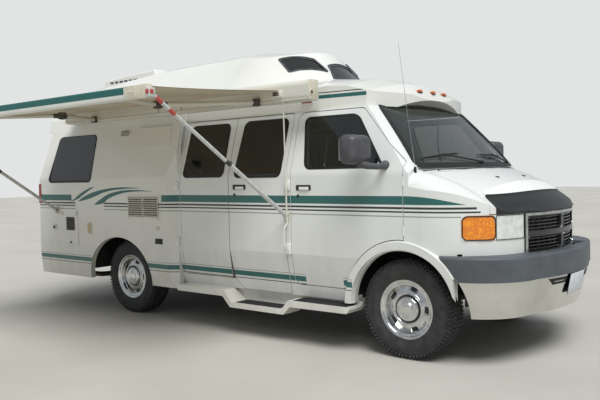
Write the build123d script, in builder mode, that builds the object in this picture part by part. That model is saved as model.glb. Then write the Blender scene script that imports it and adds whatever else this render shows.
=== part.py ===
from build123d import *
import os

# A wide-body camper van, in millimetres: X forward, Y to its left, Z up.
# The origin is on the ground, on the centreline, midway between the axles.

os.makedirs("parts", exist_ok=True)

# Running gear
wheelbase = 3241.0
tyre_radius = 372.0
tyre_width = 225.0
tyre_shoulder = 32.0
bead_radius = 208.0
bead_half = 89.0
hand_holes = 5
hand_hole_circle = 156.0
front_wheel_y = 837.0
rear_wheel_y = 817.0
kingpin_y = 735.0
front_axle_x = wheelbase / 2
rear_axle_x = -wheelbase / 2
spindle_radius = 30.0
bearing_clearance = 0.5

# Steel body section, half of it, from the sill up to the gutter
sill_half = 935.0
sill_z = 385.0
tuck_z = 735.0
body_half = 1000.0
belt_z = 1388.0
gutter_half = 843.0
gutter_z = 1910.0
body_wall = 55.0
belt_bend = 130.0
panel_gap = 6.0
seat_gap = 0.3
glass_thickness = 6.0

# Along the body
nose_x = 2445.0
nose_tuck_z = 640.0
firewall_x = 1645.0
firewall_wall = 45.0
step_x = -789.0
wide_x = -895.0
rear_x = -3060.0
rear_gutter_x = -2900.0

# Wide rear body section, half of it
wide_half = 1061.0
wide_sill_half = 1040.0
wide_sill_z = 335.0
wide_tuck_z = 560.0
wide_gutter_half = 932.0

# Windscreen surface: an arc in plan at its foot and one at its head
screen_foot_z = 1405.0
screen_foot_x = 1873.0
screen_foot_radius = 2425.0
screen_head_z = 1964.0
screen_head_x = 1287.0
screen_head_radius = 4291.0
screen_foot_half = 885.0
screen_head_half = 712.0
screen_corner = 55.0

# Doors, in side view
front_door_rear_x = 592.0
front_door_front_x = 1643.0
front_door_bottom_z = 485.0
front_door_top_z = 1893.0
side_door_rear_x = -749.0
side_door_meet_x = -122.0
side_door_front_x = 531.0
side_door_bottom_z = 480.0
side_door_step_z = 392.0
door_corner = 60.0
side_door_corner = 22.0
window_corner = 55.0

# Hinges: barrels that fill the panel gap, and their heights
hinge_length = 70.0
front_barrel = 5.0
side_barrel = 9.0
rear_barrel = 12.0
hinge_heights = (775.0, 1290.0)
front_hinge_heights = (960.0, 1320.0)
rear_hinge_heights = (850.0, 1200.0)
front_hinge_x = front_door_front_x + panel_gap / 2
side_front_hinge_x = side_door_front_x + panel_gap / 2
side_rear_hinge_x = side_door_rear_x - panel_gap / 2
rear_door_half = 800.0
rear_hinge_x = rear_x
rear_hinge_y = rear_door_half + panel_gap / 2
hood_hinge_x = 1778.0
hood_hinge_y = 700.0
hood_hinge_z = 1385.0
hood_barrel = 6.0
hood_barrel_half = 15.0
hood_arm_half = 10.0

# Arches
front_arch_radius = 428.0
front_arch_z = 385.0
flare_width = 76.0
flare_proud = 22.0
rear_arch_x = -1640.0
rear_arch_half = 498.0
rear_arch_rise = 414.0
arch_axle_z = 372.0

# Floor and chassis
floor_z = 560.0
floor_thickness = 40.0
tub_wall = 15.0
tub_inner_y = 480.0
rear_tub_inner_y = 620.0
tub_half_length = 450.0
tub_top_z = 805.0
tub_foot_z = 430.0
tub_outer_y = 890.0
rail_y = 430.0
rail_width = 70.0
rail_height = 130.0
spring_eye_z = 330.0
hitch_z = 396.0
hitch_outer = 63.5
hitch_bore = 51.0
hitch_pin_x = -3098.0
hitch_pin_radius = 8.3

# Nose
hood_rear_x = 1778.0
hood_half_rear = 822.0
hood_half_front = 786.0
hood_lip_z = 1082.0
hood_thickness = 26.0
fender_wall = 30.0
grille_half = 500.0
grille_top_z = 1074.0
grille_bottom_z = 770.0
slat_count = 12
slat_pitch = 25.0
slat_height = 7.0
lamp_top_z = 1074.0
lamp_bottom_z = 892.0
lamp_rear_x = 2067.0

# Bumpers and boards
bumper_nose_x = 2580.0
cover_top_z = 793.0
cover_bottom_z = 617.0
chrome_bottom_z = 355.0
board_half = 1080.0
board_inner = 870.0
rear_bumper_x = -3150.0
bumper_foot_z = 590.0

# Raised roof
roof_wall = 30.0
roof_top_z = 2582.0
roof_crown_radius = 1618.0
visor_crown_radius = 3200.0
visor_top_z = 2235.0
roof_front_half = 852.0
deck_foot_z = 2130.0
deck_foot_half = 866.0
deck_taper = 44.0
deck_bow_x = -330.0
deck_nose_x = 640.0

aircon_half = 360.0

# Awning
awning_front_x = 840.0
awning_rear_x = -2500.0
awning_y = 1060.0
awning_bottom_z = 1972.0
awning_height = 165.0
awning_depth = 135.0
lead_y = 2460.0
lead_front_x = 590.0
lead_rear_x = -2640.0
lead_bottom_z = 1915.0
lead_height = 90.0
lead_depth = 48.0
leg_radius = 14.0
crank_radius = 6.0
crank_top_x = 564.0
crank_foot_x = 580.0
crank_out = 40.0
crank_throw = 45.0
crank_bend_z = 990.0
crank_grip_z = 950.0
crank_foot_z = 800.0

# Cab controls
column_tilt = 45.0
rim_centre = (1262.0, 520.0, 1225.0)
hub_back = 26.0


def outline(points):
    """Add a closed straight-sided outline to the sketch being built."""
    return Polygon(*points, align=None)


def both_halves(half):
    """Close a half section, given from the bottom up, by its mirror image."""
    return half + [(-y, z) for y, z in reversed(half)]


# Outer forms, each drawn at a chosen depth below the skin
def steel_form(inset):
    """Section of the steel body from the step in the side to the firewall."""
    drop = 60.0 if inset else 0.0
    half = [
        (sill_half - inset, sill_z - drop),
        (body_half - inset, tuck_z),
        (body_half - inset, belt_z),
        (gutter_half - inset, gutter_z + drop),
    ]
    with BuildPart() as form:
        with BuildSketch(Plane.YZ.offset(wide_x)) as section:
            outline(both_halves(half))
            fillet(section.vertices().filter_by_position(Axis.Y, belt_z - 1, belt_z + 1), belt_bend)
        extrude(amount=firewall_x + firewall_wall - wide_x)
    return form.part


def screen_form(inset):
    """All that lies behind the windscreen's surface, above the belt."""
    reach = body_half + 100.0
    with BuildPart() as form:
        for height, nose, radius in (
            (screen_foot_z - 30.0, screen_foot_x + 31.4, screen_foot_radius),
            (screen_head_z + 30.0, screen_head_x - 31.4, screen_head_radius),
        ):
            bow = radius - (radius**2 - reach**2) ** 0.5
            with BuildSketch(Plane.XY.offset(height)):
                with BuildLine():
                    front = ThreePointArc(
                        (nose - inset - bow, -reach), (nose - inset, 0), (nose - inset - bow, reach)
                    )
                    Polyline(front @ 1, (wide_x - 100.0, reach), (wide_x - 100.0, -reach), front @ 0)
                make_face()
        loft(ruled=True)
    return form.part


def nose_form(inset):
    """Hood, fenders and front panel as one form, narrowing to the grille."""
    # columns: station x, centre height, hood edge y, hood edge height, shoulder height
    stations = (
        (1480.0, 1545.0, 870.0, 1462.0, 1350.0),
        (1870.0, 1410.0, 815.0, 1345.0, 1245.0),
        (2124.0, 1312.0, 745.0, 1220.0, 1120.0),
        (2330.0, 1190.0, 700.0, 1050.0, 920.0),
        (2480.0, 1010.0, 650.0, 880.0, 740.0),
    )
    with BuildPart() as form:
        for x, crown_z, edge_y, edge_z, shoulder_z in stations:
            side_y = body_half - inset
            top_z = crown_z - inset
            with BuildSketch(Plane.YZ.offset(x)):
                with BuildLine():
                    top = ThreePointArc((-edge_y, edge_z - inset), (0, top_z), (edge_y, edge_z - inset))
                    middle_y = edge_y + 0.66 * (side_y - edge_y)
                    middle_z = edge_z - inset - 0.38 * (edge_z - shoulder_z)
                    left = ThreePointArc(top @ 1, (middle_y, middle_z), (side_y, shoulder_z - inset))
                    Polyline(
                        left @ 1,
                        (side_y, nose_tuck_z),
                        (side_y - 45.0, sill_z - inset),
                        (45.0 - side_y, sill_z - inset),
                        (-side_y, nose_tuck_z),
                        (-side_y, shoulder_z - inset),
                    )
                    ThreePointArc((-side_y, shoulder_z - inset), (-middle_y, middle_z), top @ 0)
                make_face()
        loft()
        with BuildSketch(Plane.XY.offset(sill_z - 100.0)):
            with BuildLine():
                bow_x = nose_x - 95.0 - inset
                nose = ThreePointArc((bow_x, -grille_half), (nose_x - inset, 0), (bow_x, grille_half))
                corner = ThreePointArc(
                    nose @ 1, (2165.0 - 0.7 * inset, 852.0 - 0.7 * inset), (1800.0, body_half - inset)
                )
                flank = body_half - inset
                Polyline(corner @ 1, (1400.0, flank), (1400.0, -flank), (1800.0, -flank))
                ThreePointArc(
                    (1800.0, inset - body_half), (2165.0 - 0.7 * inset, 0.7 * inset - 852.0), nose @ 0
                )
            make_face()
        extrude(amount=1500.0, mode=Mode.INTERSECT)
    return form.part


def wide_form(inset):
    """The wide rear body, from the slanted step to the tail."""
    drop = 60.0 if inset else 0.0
    half = [
        (wide_sill_half - inset, wide_sill_z - drop),
        (wide_half - inset, wide_tuck_z),
        (wide_half - inset, belt_z),
        (wide_gutter_half - inset, gutter_z + drop),
    ]
    with BuildPart() as form:
        with BuildSketch(Plane.YZ.offset(rear_x - 100.0)) as section:
            outline(both_halves(half))
            fillet(section.vertices().filter_by_position(Axis.Y, belt_z - 1, belt_z + 1), belt_bend)
        extrude(amount=step_x - rear_x + 100.0)
        with BuildSketch(Plane.XY.offset(wide_sill_z - 100.0)) as plan:
            outline(
                [
                    (rear_x + inset, -wide_half - 5),
                    (wide_x, -wide_half - 5),
                    (step_x, inset - body_half),
                    (step_x, body_half - inset),
                    (wide_x, wide_half + 5),
                    (rear_x + inset, wide_half + 5),
                ]
            )
        extrude(amount=2000.0, mode=Mode.INTERSECT)
        with BuildSketch(Plane.XZ.offset(-1200.0)) as profile:
            outline(
                [
                    (rear_x - 7.0 + inset, wide_sill_z - 90.0),
                    (rear_x + 16.0 + inset, belt_z),
                    (rear_gutter_x - 18.0 + inset, gutter_z + 60.0),
                    (step_x + 50.0, gutter_z + 60.0),
                    (step_x + 50.0, wide_sill_z - 90.0),
                ]
            )
        extrude(amount=2400.0, mode=Mode.INTERSECT)
    return form.part


def roof_form(inset):
    """The raised moulded roof: a low visor in front and a bow-fronted deck behind."""
    base = gutter_z - (40.0 if inset else 0.0)
    deck_axis_z = roof_top_z - roof_crown_radius
    visor_axis_z = visor_top_z - visor_crown_radius
    with BuildPart() as deck:
        with BuildSketch(Plane.XZ):
            outline(
                [
                    (-3040.0 + inset, base),
                    (-3025.0 + inset, 2300.0),
                    (-2950.0 + inset, 2440.0 - inset),
                    (-2600.0, 2500.0 - inset),
                    (-1500.0, 2568.0 - inset),
                    (-338.0, roof_top_z - inset),
                    (140.0, 2530.0 - inset),
                    (800.0, 2470.0 - inset),
                    (800.0, base),
                ]
            )
        revolve(axis=Axis((0, 0, deck_axis_z), (1, 0, 0)), revolution_arc=90)
        mirror(about=Plane.XZ)
        with BuildSketch(Plane.XY.offset(deck_foot_z)):
            with BuildLine():
                side_y = deck_foot_half - inset
                bow = ThreePointArc((deck_bow_x, -side_y), (deck_nose_x - inset, 0), (deck_bow_x, side_y))
                Polyline(bow @ 1, (-3200.0, side_y), (-3200.0, -side_y), bow @ 0)
            make_face()
        extrude(amount=roof_top_z + 20.0 - deck_foot_z, taper=deck_taper, mode=Mode.INTERSECT)
    with BuildPart() as form:
        with BuildSketch(Plane.XZ):
            outline(
                [
                    (-3040.0 + inset, base),
                    (-3025.0 + inset, 2230.0 - inset),
                    (560.0, visor_top_z + 4.0 - inset),
                    (1043.0, 2189.0 - inset),
                    (1241.0 - 0.5 * inset, 2132.0 - inset),
                    (1368.0 - inset, 2042.0 - 0.5 * inset),
                    (1398.0 - inset, 1985.0),
                    (1306.0 - inset, 1948.0),
                    (1280.0 - inset, base),
                ]
            )
        revolve(axis=Axis((0, 0, visor_axis_z), (1, 0, 0)), revolution_arc=25)
        mirror(about=Plane.XZ)
        with BuildSketch(Plane.YZ.offset(-3100.0)) as visor_section:
            outline(
                both_halves(
                    [
                        (wide_gutter_half - inset, base),
                        (wide_gutter_half - inset - 36.0, 2040.0),
                        (wide_gutter_half - inset - 180.0, 2175.0 - inset),
                        (300.0, 2700.0),
                    ]
                )
            )
            fillet(visor_section.vertices().filter_by_position(Axis.Y, 2000.0, 2200.0), 60.0)
        extrude(amount=4600.0, mode=Mode.INTERSECT)
        add(deck.part)
        with BuildSketch(Plane.YZ.offset(-3100.0)):
            outline(
                both_halves(
                    [
                        (wide_gutter_half - inset, base),
                        (deck_foot_half - inset, deck_foot_z),
                        (deck_foot_half - inset, 2700.0),
                    ]
                )
            )
        extrude(amount=4600.0, mode=Mode.INTERSECT)
        with BuildSketch(Plane.XY.offset(base)):
            with BuildLine():
                front = ThreePointArc((1260.0 - inset, -745.0), (1400.0 - inset, 0), (1260.0 - inset, 745.0))
                Polyline(
                    front @ 1,
                    (1215.0 - inset, 800.0 - inset),
                    (700.0, roof_front_half - inset),
                    (step_x, roof_front_half + 8.0 - inset),
                    (wide_x, wide_gutter_half - inset),
                    (-3050.0, wide_gutter_half - inset),
                    (-3050.0, inset - wide_gutter_half),
                    (wide_x, inset - wide_gutter_half),
                    (step_x, inset - roof_front_half - 8.0),
                    (700.0, inset - roof_front_half),
                    (1215.0 - inset, inset - 800.0),
                    front @ 0,
                )
            make_face()
        extrude(amount=900.0, mode=Mode.INTERSECT)
    return form.part


def side_space(points, corner=door_corner, grow=0.0, inner_y=600.0, depth=600.0):
    """A block through the right-hand side, in the outline of a door or window."""
    with BuildPart() as space:
        with BuildSketch(Plane.XZ.offset(inner_y)) as face:
            outline(points)
            if corner:
                fillet(face.vertices(), corner)
            if grow:
                offset(amount=grow, kind=Kind.INTERSECTION, mode=Mode.REPLACE)
        extrude(amount=depth)
    return space.part


def end_space(points, start_x, depth, corner=0.0, grow=0.0):
    """A block along the body, in an outline seen from the front or the back."""
    with BuildPart() as space:
        with BuildSketch(Plane.YZ.offset(start_x)) as face:
            outline(points)
            if corner:
                fillet(face.vertices(), corner)
            if grow:
                offset(amount=grow, kind=Kind.INTERSECTION, mode=Mode.REPLACE)
        extrude(amount=depth)
    return space.part


def plan_space(points, bottom_z, height, grow=0.0, corner=0.0):
    """An upright block in an outline seen from above."""
    with BuildPart() as space:
        with BuildSketch(Plane.XY.offset(bottom_z)) as face:
            outline(points)
            if corner:
                fillet(face.vertices(), corner)
            if grow:
                offset(amount=grow, kind=Kind.INTERSECTION, mode=Mode.REPLACE)
        extrude(amount=height)
    return space.part


def across(radius, centre_x, centre_z, start_y=-1400.0, end_y=1400.0):
    """A cylinder across the vehicle."""
    with BuildPart() as drum:
        with BuildSketch(Plane.XZ.offset(-end_y)):
            with Locations((centre_x, centre_z)):
                Circle(radius)
        extrude(amount=end_y - start_y)
    return drum.part


def upright(centre_x, centre_y, centre_z, radius, length):
    """An upright cylinder, such as a hinge barrel, by its middle."""
    with BuildPart() as barrel:
        with BuildSketch(Plane.XY.offset(centre_z - length / 2)):
            with Locations((centre_x, centre_y)):
                Circle(radius)
        extrude(amount=length)
    return barrel.part


def mirrored(piece):
    """The same piece for the other side of the vehicle."""
    return mirror(piece, about=Plane.XZ)


def block(low, high):
    """A plain box between two corners."""
    with BuildPart() as body:
        with Locations(Plane((0, 0, 0))):
            Box(
                high[0] - low[0],
                high[1] - low[1],
                high[2] - low[2],
                align=(Align.MIN, Align.MIN, Align.MIN),
            )
    return body.part.moved(Location(low))


def as_drawn(piece):
    """The piece on the side where it was drawn."""
    return piece


sides = (("right", as_drawn), ("left", mirrored))
finished = []

# Shells that the panels are cut from
with BuildPart() as screen_outside:
    add(screen_form(0.0))
    add(block((wide_x - 200, -1200, 200), (firewall_x + firewall_wall, 1200, screen_foot_z - 20)))
with BuildPart() as screen_inside:
    add(screen_form(body_wall))
    add(block((wide_x - 200, -1200, 200), (firewall_x, 1200, screen_foot_z - 20)))
with BuildPart() as cab_outside:
    add(steel_form(0.0))
    add(screen_outside.part, mode=Mode.INTERSECT)
with BuildPart() as cab_inside:
    add(steel_form(body_wall))
    add(screen_inside.part, mode=Mode.INTERSECT)
with BuildPart() as cab_shell:
    add(cab_outside.part)
    add(cab_inside.part, mode=Mode.SUBTRACT)
with BuildPart() as wide_shell:
    add(wide_form(0.0))
    add(wide_form(body_wall), mode=Mode.SUBTRACT)
with BuildPart() as roof_shell:
    add(roof_form(0.0))
    add(roof_form(roof_wall), mode=Mode.SUBTRACT)

# Outlines of the doors in side view
door_top = front_door_top_z
front_door_outline = [
    (front_door_rear_x, front_door_bottom_z),
    (front_door_front_x, front_door_bottom_z),
    (front_door_front_x, 1454.0),
    (1224.0, door_top),
    (front_door_rear_x, door_top),
]
rear_leaf_outline = [
    (side_door_rear_x, side_door_bottom_z),
    (side_door_meet_x - panel_gap / 2, side_door_bottom_z),
    (side_door_meet_x - panel_gap / 2, door_top),
    (side_door_rear_x, door_top),
]
front_leaf_outline = [
    (side_door_meet_x + panel_gap / 2, 300.0),
    (side_door_front_x, 300.0),
    (side_door_front_x, door_top),
    (side_door_meet_x + panel_gap / 2, door_top),
]
side_opening_outline = [
    (side_door_rear_x, side_door_bottom_z),
    (-103.0, side_door_bottom_z),
    (-12.0, side_door_step_z),
    (side_door_front_x, side_door_step_z),
    (side_door_front_x, door_top),
    (side_door_rear_x, door_top),
]
front_window_outline = [(732.0, 1430.0), (1480.0, 1430.0), (1173.0, 1848.0), (656.0, 1848.0)]
rear_leaf_window = [(-712.0, 1378.0), (-187.0, 1378.0), (-201.0, 1850.0), (-701.0, 1850.0)]
front_leaf_window = [(-51.0, 1370.0), (478.0, 1370.0), (478.0, 1855.0), (-16.0, 1855.0)]
quarter_window = [(-2862.0, 1350.0), (-2072.0, 1350.0), (-2089.0, 1842.0), (-2761.0, 1842.0)]
rear_door_bottom_z = 760.0
rear_door_top_z = 1860.0
rear_door_outline = [
    (-rear_door_half, rear_door_bottom_z),
    (-panel_gap / 2, rear_door_bottom_z),
    (-panel_gap / 2, rear_door_top_z),
    (-rear_door_half, rear_door_top_z),
]
rear_door_window = [(-690.0, 1270.0), (-120.0, 1270.0), (-120.0, 1780.0), (-690.0, 1780.0)]
flare_radius = front_arch_radius + flare_width
flare_edge = across(flare_radius, front_axle_x, front_arch_z)
arch_clear = across(flare_radius + panel_gap, front_axle_x, front_arch_z)
screen_outline = [
    (-screen_foot_half, 1428.0),
    (screen_foot_half, 1428.0),
    (screen_head_half, 1934.0),
    (-screen_head_half, 1934.0),
]
screen_space = end_space(screen_outline, 1000.0, 1000.0, corner=screen_corner)
hood_outline = [
    (hood_rear_x, -hood_half_rear),
    (hood_rear_x + 88.0, -420.0),
    (hood_rear_x + 122.0, 0.0),
    (hood_rear_x + 88.0, 420.0),
    (hood_rear_x, hood_half_rear),
    (2290.0, hood_half_front),
    (2600.0, hood_half_front),
    (2600.0, -hood_half_front),
    (2290.0, -hood_half_front),
]
grille_outline = [
    (-grille_half, grille_bottom_z),
    (grille_half, grille_bottom_z),
    (grille_half, grille_top_z),
    (-grille_half, grille_top_z),
]
lamp_side_outline = [
    (lamp_rear_x, lamp_bottom_z + 8.0),
    (2600.0, lamp_bottom_z),
    (2600.0, lamp_top_z),
    (lamp_rear_x, lamp_top_z),
]
lamp_space = side_space(lamp_side_outline, 0.0, inner_y=grille_half + panel_gap, depth=700.0)

# Wheel arch lips on the front fenders
with BuildPart() as arch_lip:
    with BuildSketch(Plane.XZ.offset(body_half - fender_wall)):
        with Locations((front_axle_x, front_arch_z)):
            Circle(flare_radius)
            Circle(front_arch_radius, mode=Mode.SUBTRACT)
    extrude(amount=fender_wall + flare_proud, taper=12.0)
    add(block((1000, -1100, -300), (2040, 1100, front_arch_z - 60)), mode=Mode.SUBTRACT)
    add(block((2040, -1100, -300), (2400, 1100, 640)), mode=Mode.SUBTRACT)
    add(block((1000, -1100, -300), (1222, 1100, sill_z)), mode=Mode.SUBTRACT)
with BuildPart() as arch_lips:
    for side, turn in sides:
        add(turn(arch_lip.part))

# Steel body: cab and middle sides, nose and firewall in one welded shell
with BuildPart() as engine_bay:
    add(nose_form(fender_wall))
    add(block((firewall_x + firewall_wall, -1100, 200), (2600, 1100, 1700)), mode=Mode.INTERSECT)
with BuildPart() as body_shell:
    add(cab_outside.part)
    add(nose_form(0.0))
    add(cab_inside.part, mode=Mode.SUBTRACT)
    add(engine_bay.part, mode=Mode.SUBTRACT)
    add(arch_lips.part)
    for side, turn in sides:
        add(turn(side_space(front_door_outline, grow=panel_gap) - flare_edge), mode=Mode.SUBTRACT)
        add(turn(lamp_space), mode=Mode.SUBTRACT)
    add(side_space(side_opening_outline, side_door_corner, panel_gap), mode=Mode.SUBTRACT)
    side_sill_cut = [(-8.0, sill_z - 10.0), (side_door_front_x, sill_z - 10.0)]
    side_sill_cut += [(side_door_front_x, side_door_step_z + 30.0), (-8.0, side_door_step_z + 30.0)]
    add(side_space(side_sill_cut, 0.0, panel_gap), mode=Mode.SUBTRACT)
    for side, turn in sides:
        for hinge_z in front_hinge_heights:
            front_pin = upright(front_hinge_x, -body_half, hinge_z, front_barrel + seat_gap, hinge_length)
            add(turn(front_pin), mode=Mode.SUBTRACT)
        hood_slot_half = hood_barrel_half + seat_gap
        hood_slot_low = (hood_hinge_x - hood_barrel - 4.0, hood_hinge_y - hood_slot_half, 1345.0)
        hood_slot_high = (hood_hinge_x + 60.0, hood_hinge_y + hood_slot_half, 1425.0)
        add(turn(block(hood_slot_low, hood_slot_high)), mode=Mode.SUBTRACT)
    for hinge_x in (side_rear_hinge_x, side_front_hinge_x):
        for hinge_z in hinge_heights:
            side_pin = upright(hinge_x, -body_half, hinge_z, side_barrel + seat_gap, hinge_length)
            add(side_pin, mode=Mode.SUBTRACT)
    add(mirrored(side_space(rear_leaf_window, window_corner)), mode=Mode.SUBTRACT)
    add(mirrored(side_space(front_leaf_window, window_corner)), mode=Mode.SUBTRACT)
    add(screen_space, mode=Mode.SUBTRACT)
    add(plan_space(hood_outline, hood_lip_z - panel_gap, 800.0, grow=panel_gap), mode=Mode.SUBTRACT)
    add(end_space(grille_outline, 2200.0, 400.0), mode=Mode.SUBTRACT)
    add(block((1200, -290, 400), (firewall_x + firewall_wall, 290, 1120)), mode=Mode.SUBTRACT)
    add(block((2040, -1200, 200), (2600, 1200, 640)), mode=Mode.SUBTRACT)
    add(block((1450, -1200, 200), (2600, 1200, 470)), mode=Mode.SUBTRACT)
    add(across(front_arch_radius, front_axle_x, front_arch_z), mode=Mode.SUBTRACT)
    tub_room = block(
        (front_axle_x - tub_half_length, tub_inner_y, 200),
        (front_axle_x + tub_half_length, 938, tub_top_z),
    )
    for side, turn in sides:
        add(turn(tub_room), mode=Mode.SUBTRACT)
body_shell.part.label = "body_shell"
finished.append(body_shell.part)

# Wide rear body: moulded side panels and the frame round the rear doors
with BuildPart() as rear_arch_space:
    with BuildSketch(Plane.XZ.offset(-1400.0)):
        with Locations((rear_arch_x, arch_axle_z)):
            Ellipse(rear_arch_half, rear_arch_rise)
    extrude(amount=2800.0)
with BuildPart() as rear_body:
    add(wide_shell.part)
    add(steel_form(0.0), mode=Mode.SUBTRACT)
    for side, turn in sides:
        rear_opening = end_space(rear_door_outline, rear_x - 100.0, 400.0, door_corner, panel_gap)
        add(turn(rear_opening), mode=Mode.SUBTRACT)
        for hinge_z in rear_hinge_heights:
            rear_pin = upright(rear_hinge_x, -rear_hinge_y, hinge_z, rear_barrel + seat_gap, hinge_length)
            add(turn(rear_pin), mode=Mode.SUBTRACT)
        add(turn(side_space(quarter_window, window_corner)), mode=Mode.SUBTRACT)
    add(rear_arch_space.part, mode=Mode.SUBTRACT)
    add(block((rear_x - 50, -480, 200), (rear_x + 100, 480, bumper_foot_z)), mode=Mode.SUBTRACT)
rear_body.part.label = "rear_body"
finished.append(rear_body.part)

# Windscreen
with BuildPart() as windscreen:
    add(screen_form(0.0))
    add(screen_form(glass_thickness), mode=Mode.SUBTRACT)
    add(screen_space, mode=Mode.INTERSECT)
windscreen.part.label = "windscreen"
finished.append(windscreen.part)

# Raised roof with its skylight openings
sky_side_outline = [(71.0, -500.0), (291.0, -261.0), (428.0, -235.0), (225.0, -544.0)]
sky_front_outline = [(385.0, -170.0), (560.0, -290.0), (560.0, 290.0), (385.0, 170.0)]
sky_foot_z = 2240.0
with BuildPart() as sky_spaces:
    for side, turn in sides:
        add(turn(plan_space(sky_side_outline, sky_foot_z, 500.0, corner=18.0)))
    add(plan_space(sky_front_outline, sky_foot_z, 500.0, corner=18.0))
with BuildPart() as raised_roof:
    add(roof_shell.part)
    add(sky_spaces.part, mode=Mode.SUBTRACT)
    add(windscreen.part, mode=Mode.SUBTRACT)
raised_roof.part.label = "raised_roof"
finished.append(raised_roof.part)
with BuildPart() as skylight:
    add(roof_form(2.0))
    add(roof_form(2.0 + glass_thickness), mode=Mode.SUBTRACT)
    add(sky_spaces.part, mode=Mode.INTERSECT)
skylight.part.label = "skylight"
finished.append(skylight.part)
with BuildPart() as roof_aircon:
    with BuildSketch(Plane.XZ.offset(-aircon_half)) as aircon_side:
        aircon_top = [(-2754.0, 2522.0), (-2300.0, 2548.0), (-1835.0, 2566.0)]
        outline([(-2775.0, 2380.0)] + aircon_top + [(-1783.0, 2380.0)])
        fillet(aircon_side.vertices().filter_by_position(Axis.Y, 2520.0, 2570.0), 24.0)
    extrude(amount=2 * aircon_half)
    chamfer(roof_aircon.faces().filter_by(Axis.Y).edges(), 18.0)
    add(roof_form(0.0), mode=Mode.SUBTRACT)
roof_aircon.part.label = "roof_aircon"
finished.append(roof_aircon.part)

# Floor with its four wheel tubs
with BuildPart() as floor_pan:
    add(block((wide_x + 6.0, -916.0, floor_z), (firewall_x, 916.0, floor_z + floor_thickness)))
    rear_floor_corner = (wide_x + 6.0, 1000.0, floor_z + floor_thickness)
    add(block((rear_x + body_wall + 2.0, -1000.0, floor_z), rear_floor_corner))
    for side, turn in sides:
        front_tub = block(
            (front_axle_x - tub_half_length - tub_wall, tub_inner_y - tub_wall, tub_foot_z),
            (front_axle_x + tub_half_length + tub_wall, tub_outer_y, tub_top_z),
        )
        rear_tub = block(
            (rear_arch_x - rear_arch_half - tub_wall, rear_tub_inner_y - tub_wall, tub_foot_z),
            (rear_arch_x + rear_arch_half + tub_wall, 984.0, tub_top_z),
        )
        add(turn(front_tub))
        add(turn(rear_tub))
    add(block((1180.0, -300.0, 400.0), (firewall_x + 100.0, 300.0, 900.0)), mode=Mode.SUBTRACT)
    for side, turn in sides:
        front_space = block(
            (front_axle_x - tub_half_length, tub_inner_y, 200.0),
            (front_axle_x + tub_half_length, 1200.0, tub_top_z - tub_wall),
        )
        rear_space = block(
            (rear_arch_x - rear_arch_half, rear_tub_inner_y, 200.0),
            (rear_arch_x + rear_arch_half, 1200.0, tub_top_z - tub_wall),
        )
        add(turn(front_space), mode=Mode.SUBTRACT)
        arm_slot = block((front_axle_x - 40.0, 440.0, tub_foot_z), (front_axle_x + 40.0, 500.0, 484.0))
        add(turn(arm_slot), mode=Mode.SUBTRACT)
        add(turn(rear_space), mode=Mode.SUBTRACT)
    add(body_shell.part, mode=Mode.SUBTRACT)
floor_pan.part.label = "floor_pan"
finished.append(floor_pan.part)

# Front doors, with their glass and mirrors
front_door_space = side_space(front_door_outline, corner=door_corner)
front_window_space = side_space(front_window_outline, window_corner)
with BuildPart() as steel_glass_skin:
    add(steel_form(2.0))
    add(steel_form(2.0 + glass_thickness), mode=Mode.SUBTRACT)
mirror_x = 1375.0
mirror_y = 1200.0
mirror_z = 1560.0
with BuildPart() as mirror_right:
    with BuildSketch(Plane.XZ.offset(mirror_y - 130.0)):
        with Locations((mirror_x, mirror_z)):
            RectangleRounded(150.0, 215.0, 40.0)
    extrude(amount=260.0)
    fillet(mirror_right.edges().group_by(Axis.Y)[0], 30.0)
    add(block((mirror_x + 20.0, -mirror_y, 1416.0), (1526.0, 40.0 - mirror_y, 1456.0)))
    with BuildSketch(Plane.XZ.offset(body_half - 30.0)):
        with Locations((1506.0, 1436.0)):
            Rectangle(40.0, 40.0)
    extrude(amount=mirror_y - body_half + 30.0)
    add(steel_form(0.0), mode=Mode.SUBTRACT)
for side, turn in sides:
    with BuildPart() as front_door:
        add(cab_shell.part)
        add(front_door_space, mode=Mode.INTERSECT)
        add(arch_clear, mode=Mode.SUBTRACT)
        add(front_window_space, mode=Mode.SUBTRACT)
        for hinge_z in front_hinge_heights:
            add(upright(front_hinge_x, -body_half, hinge_z, front_barrel, hinge_length))
    with BuildPart() as front_glass:
        add(steel_glass_skin.part)
        add(front_window_space, mode=Mode.INTERSECT)
    for label, piece in (
        ("front_door_", front_door.part),
        ("front_glass_", front_glass.part),
        ("mirror_", mirror_right.part),
    ):
        made = turn(piece)
        made.label = label + side
        finished.append(made)

# Side doors on the right: two leaves that open from the middle
# Paired doors lean in above the belt, so their meeting edges are cut back inwards to swing clear
edge_slope = 0.34
steel_lean = 0.30077
wide_lean = 0.2471
side_edge_front = (-119.0, -body_half, belt_z)
side_edge_rear = (-125.0, -body_half, belt_z)


def meeting_cut(edge, away, inward, lean):
    """The room beyond a door's meeting edge, whose inner side is cut back."""
    rise = -edge_slope * lean
    with BuildPart() as room:
        for rising, low_z, high_z in ((0.0, 300.0, belt_z), (rise, belt_z, 2000.0)):
            facing = (away[0] + edge_slope * inward[0], away[1] + edge_slope * inward[1], rising)
            with BuildPart(mode=Mode.PRIVATE) as slab:
                with BuildSketch(Plane(origin=edge, z_dir=facing)):
                    Rectangle(3600.0, 3600.0)
                extrude(amount=36.0)
                add(block((-3400.0, -1300.0, low_z), (1400.0, 1300.0, high_z)), mode=Mode.INTERSECT)
            add(slab.part)
    return room.part


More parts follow.
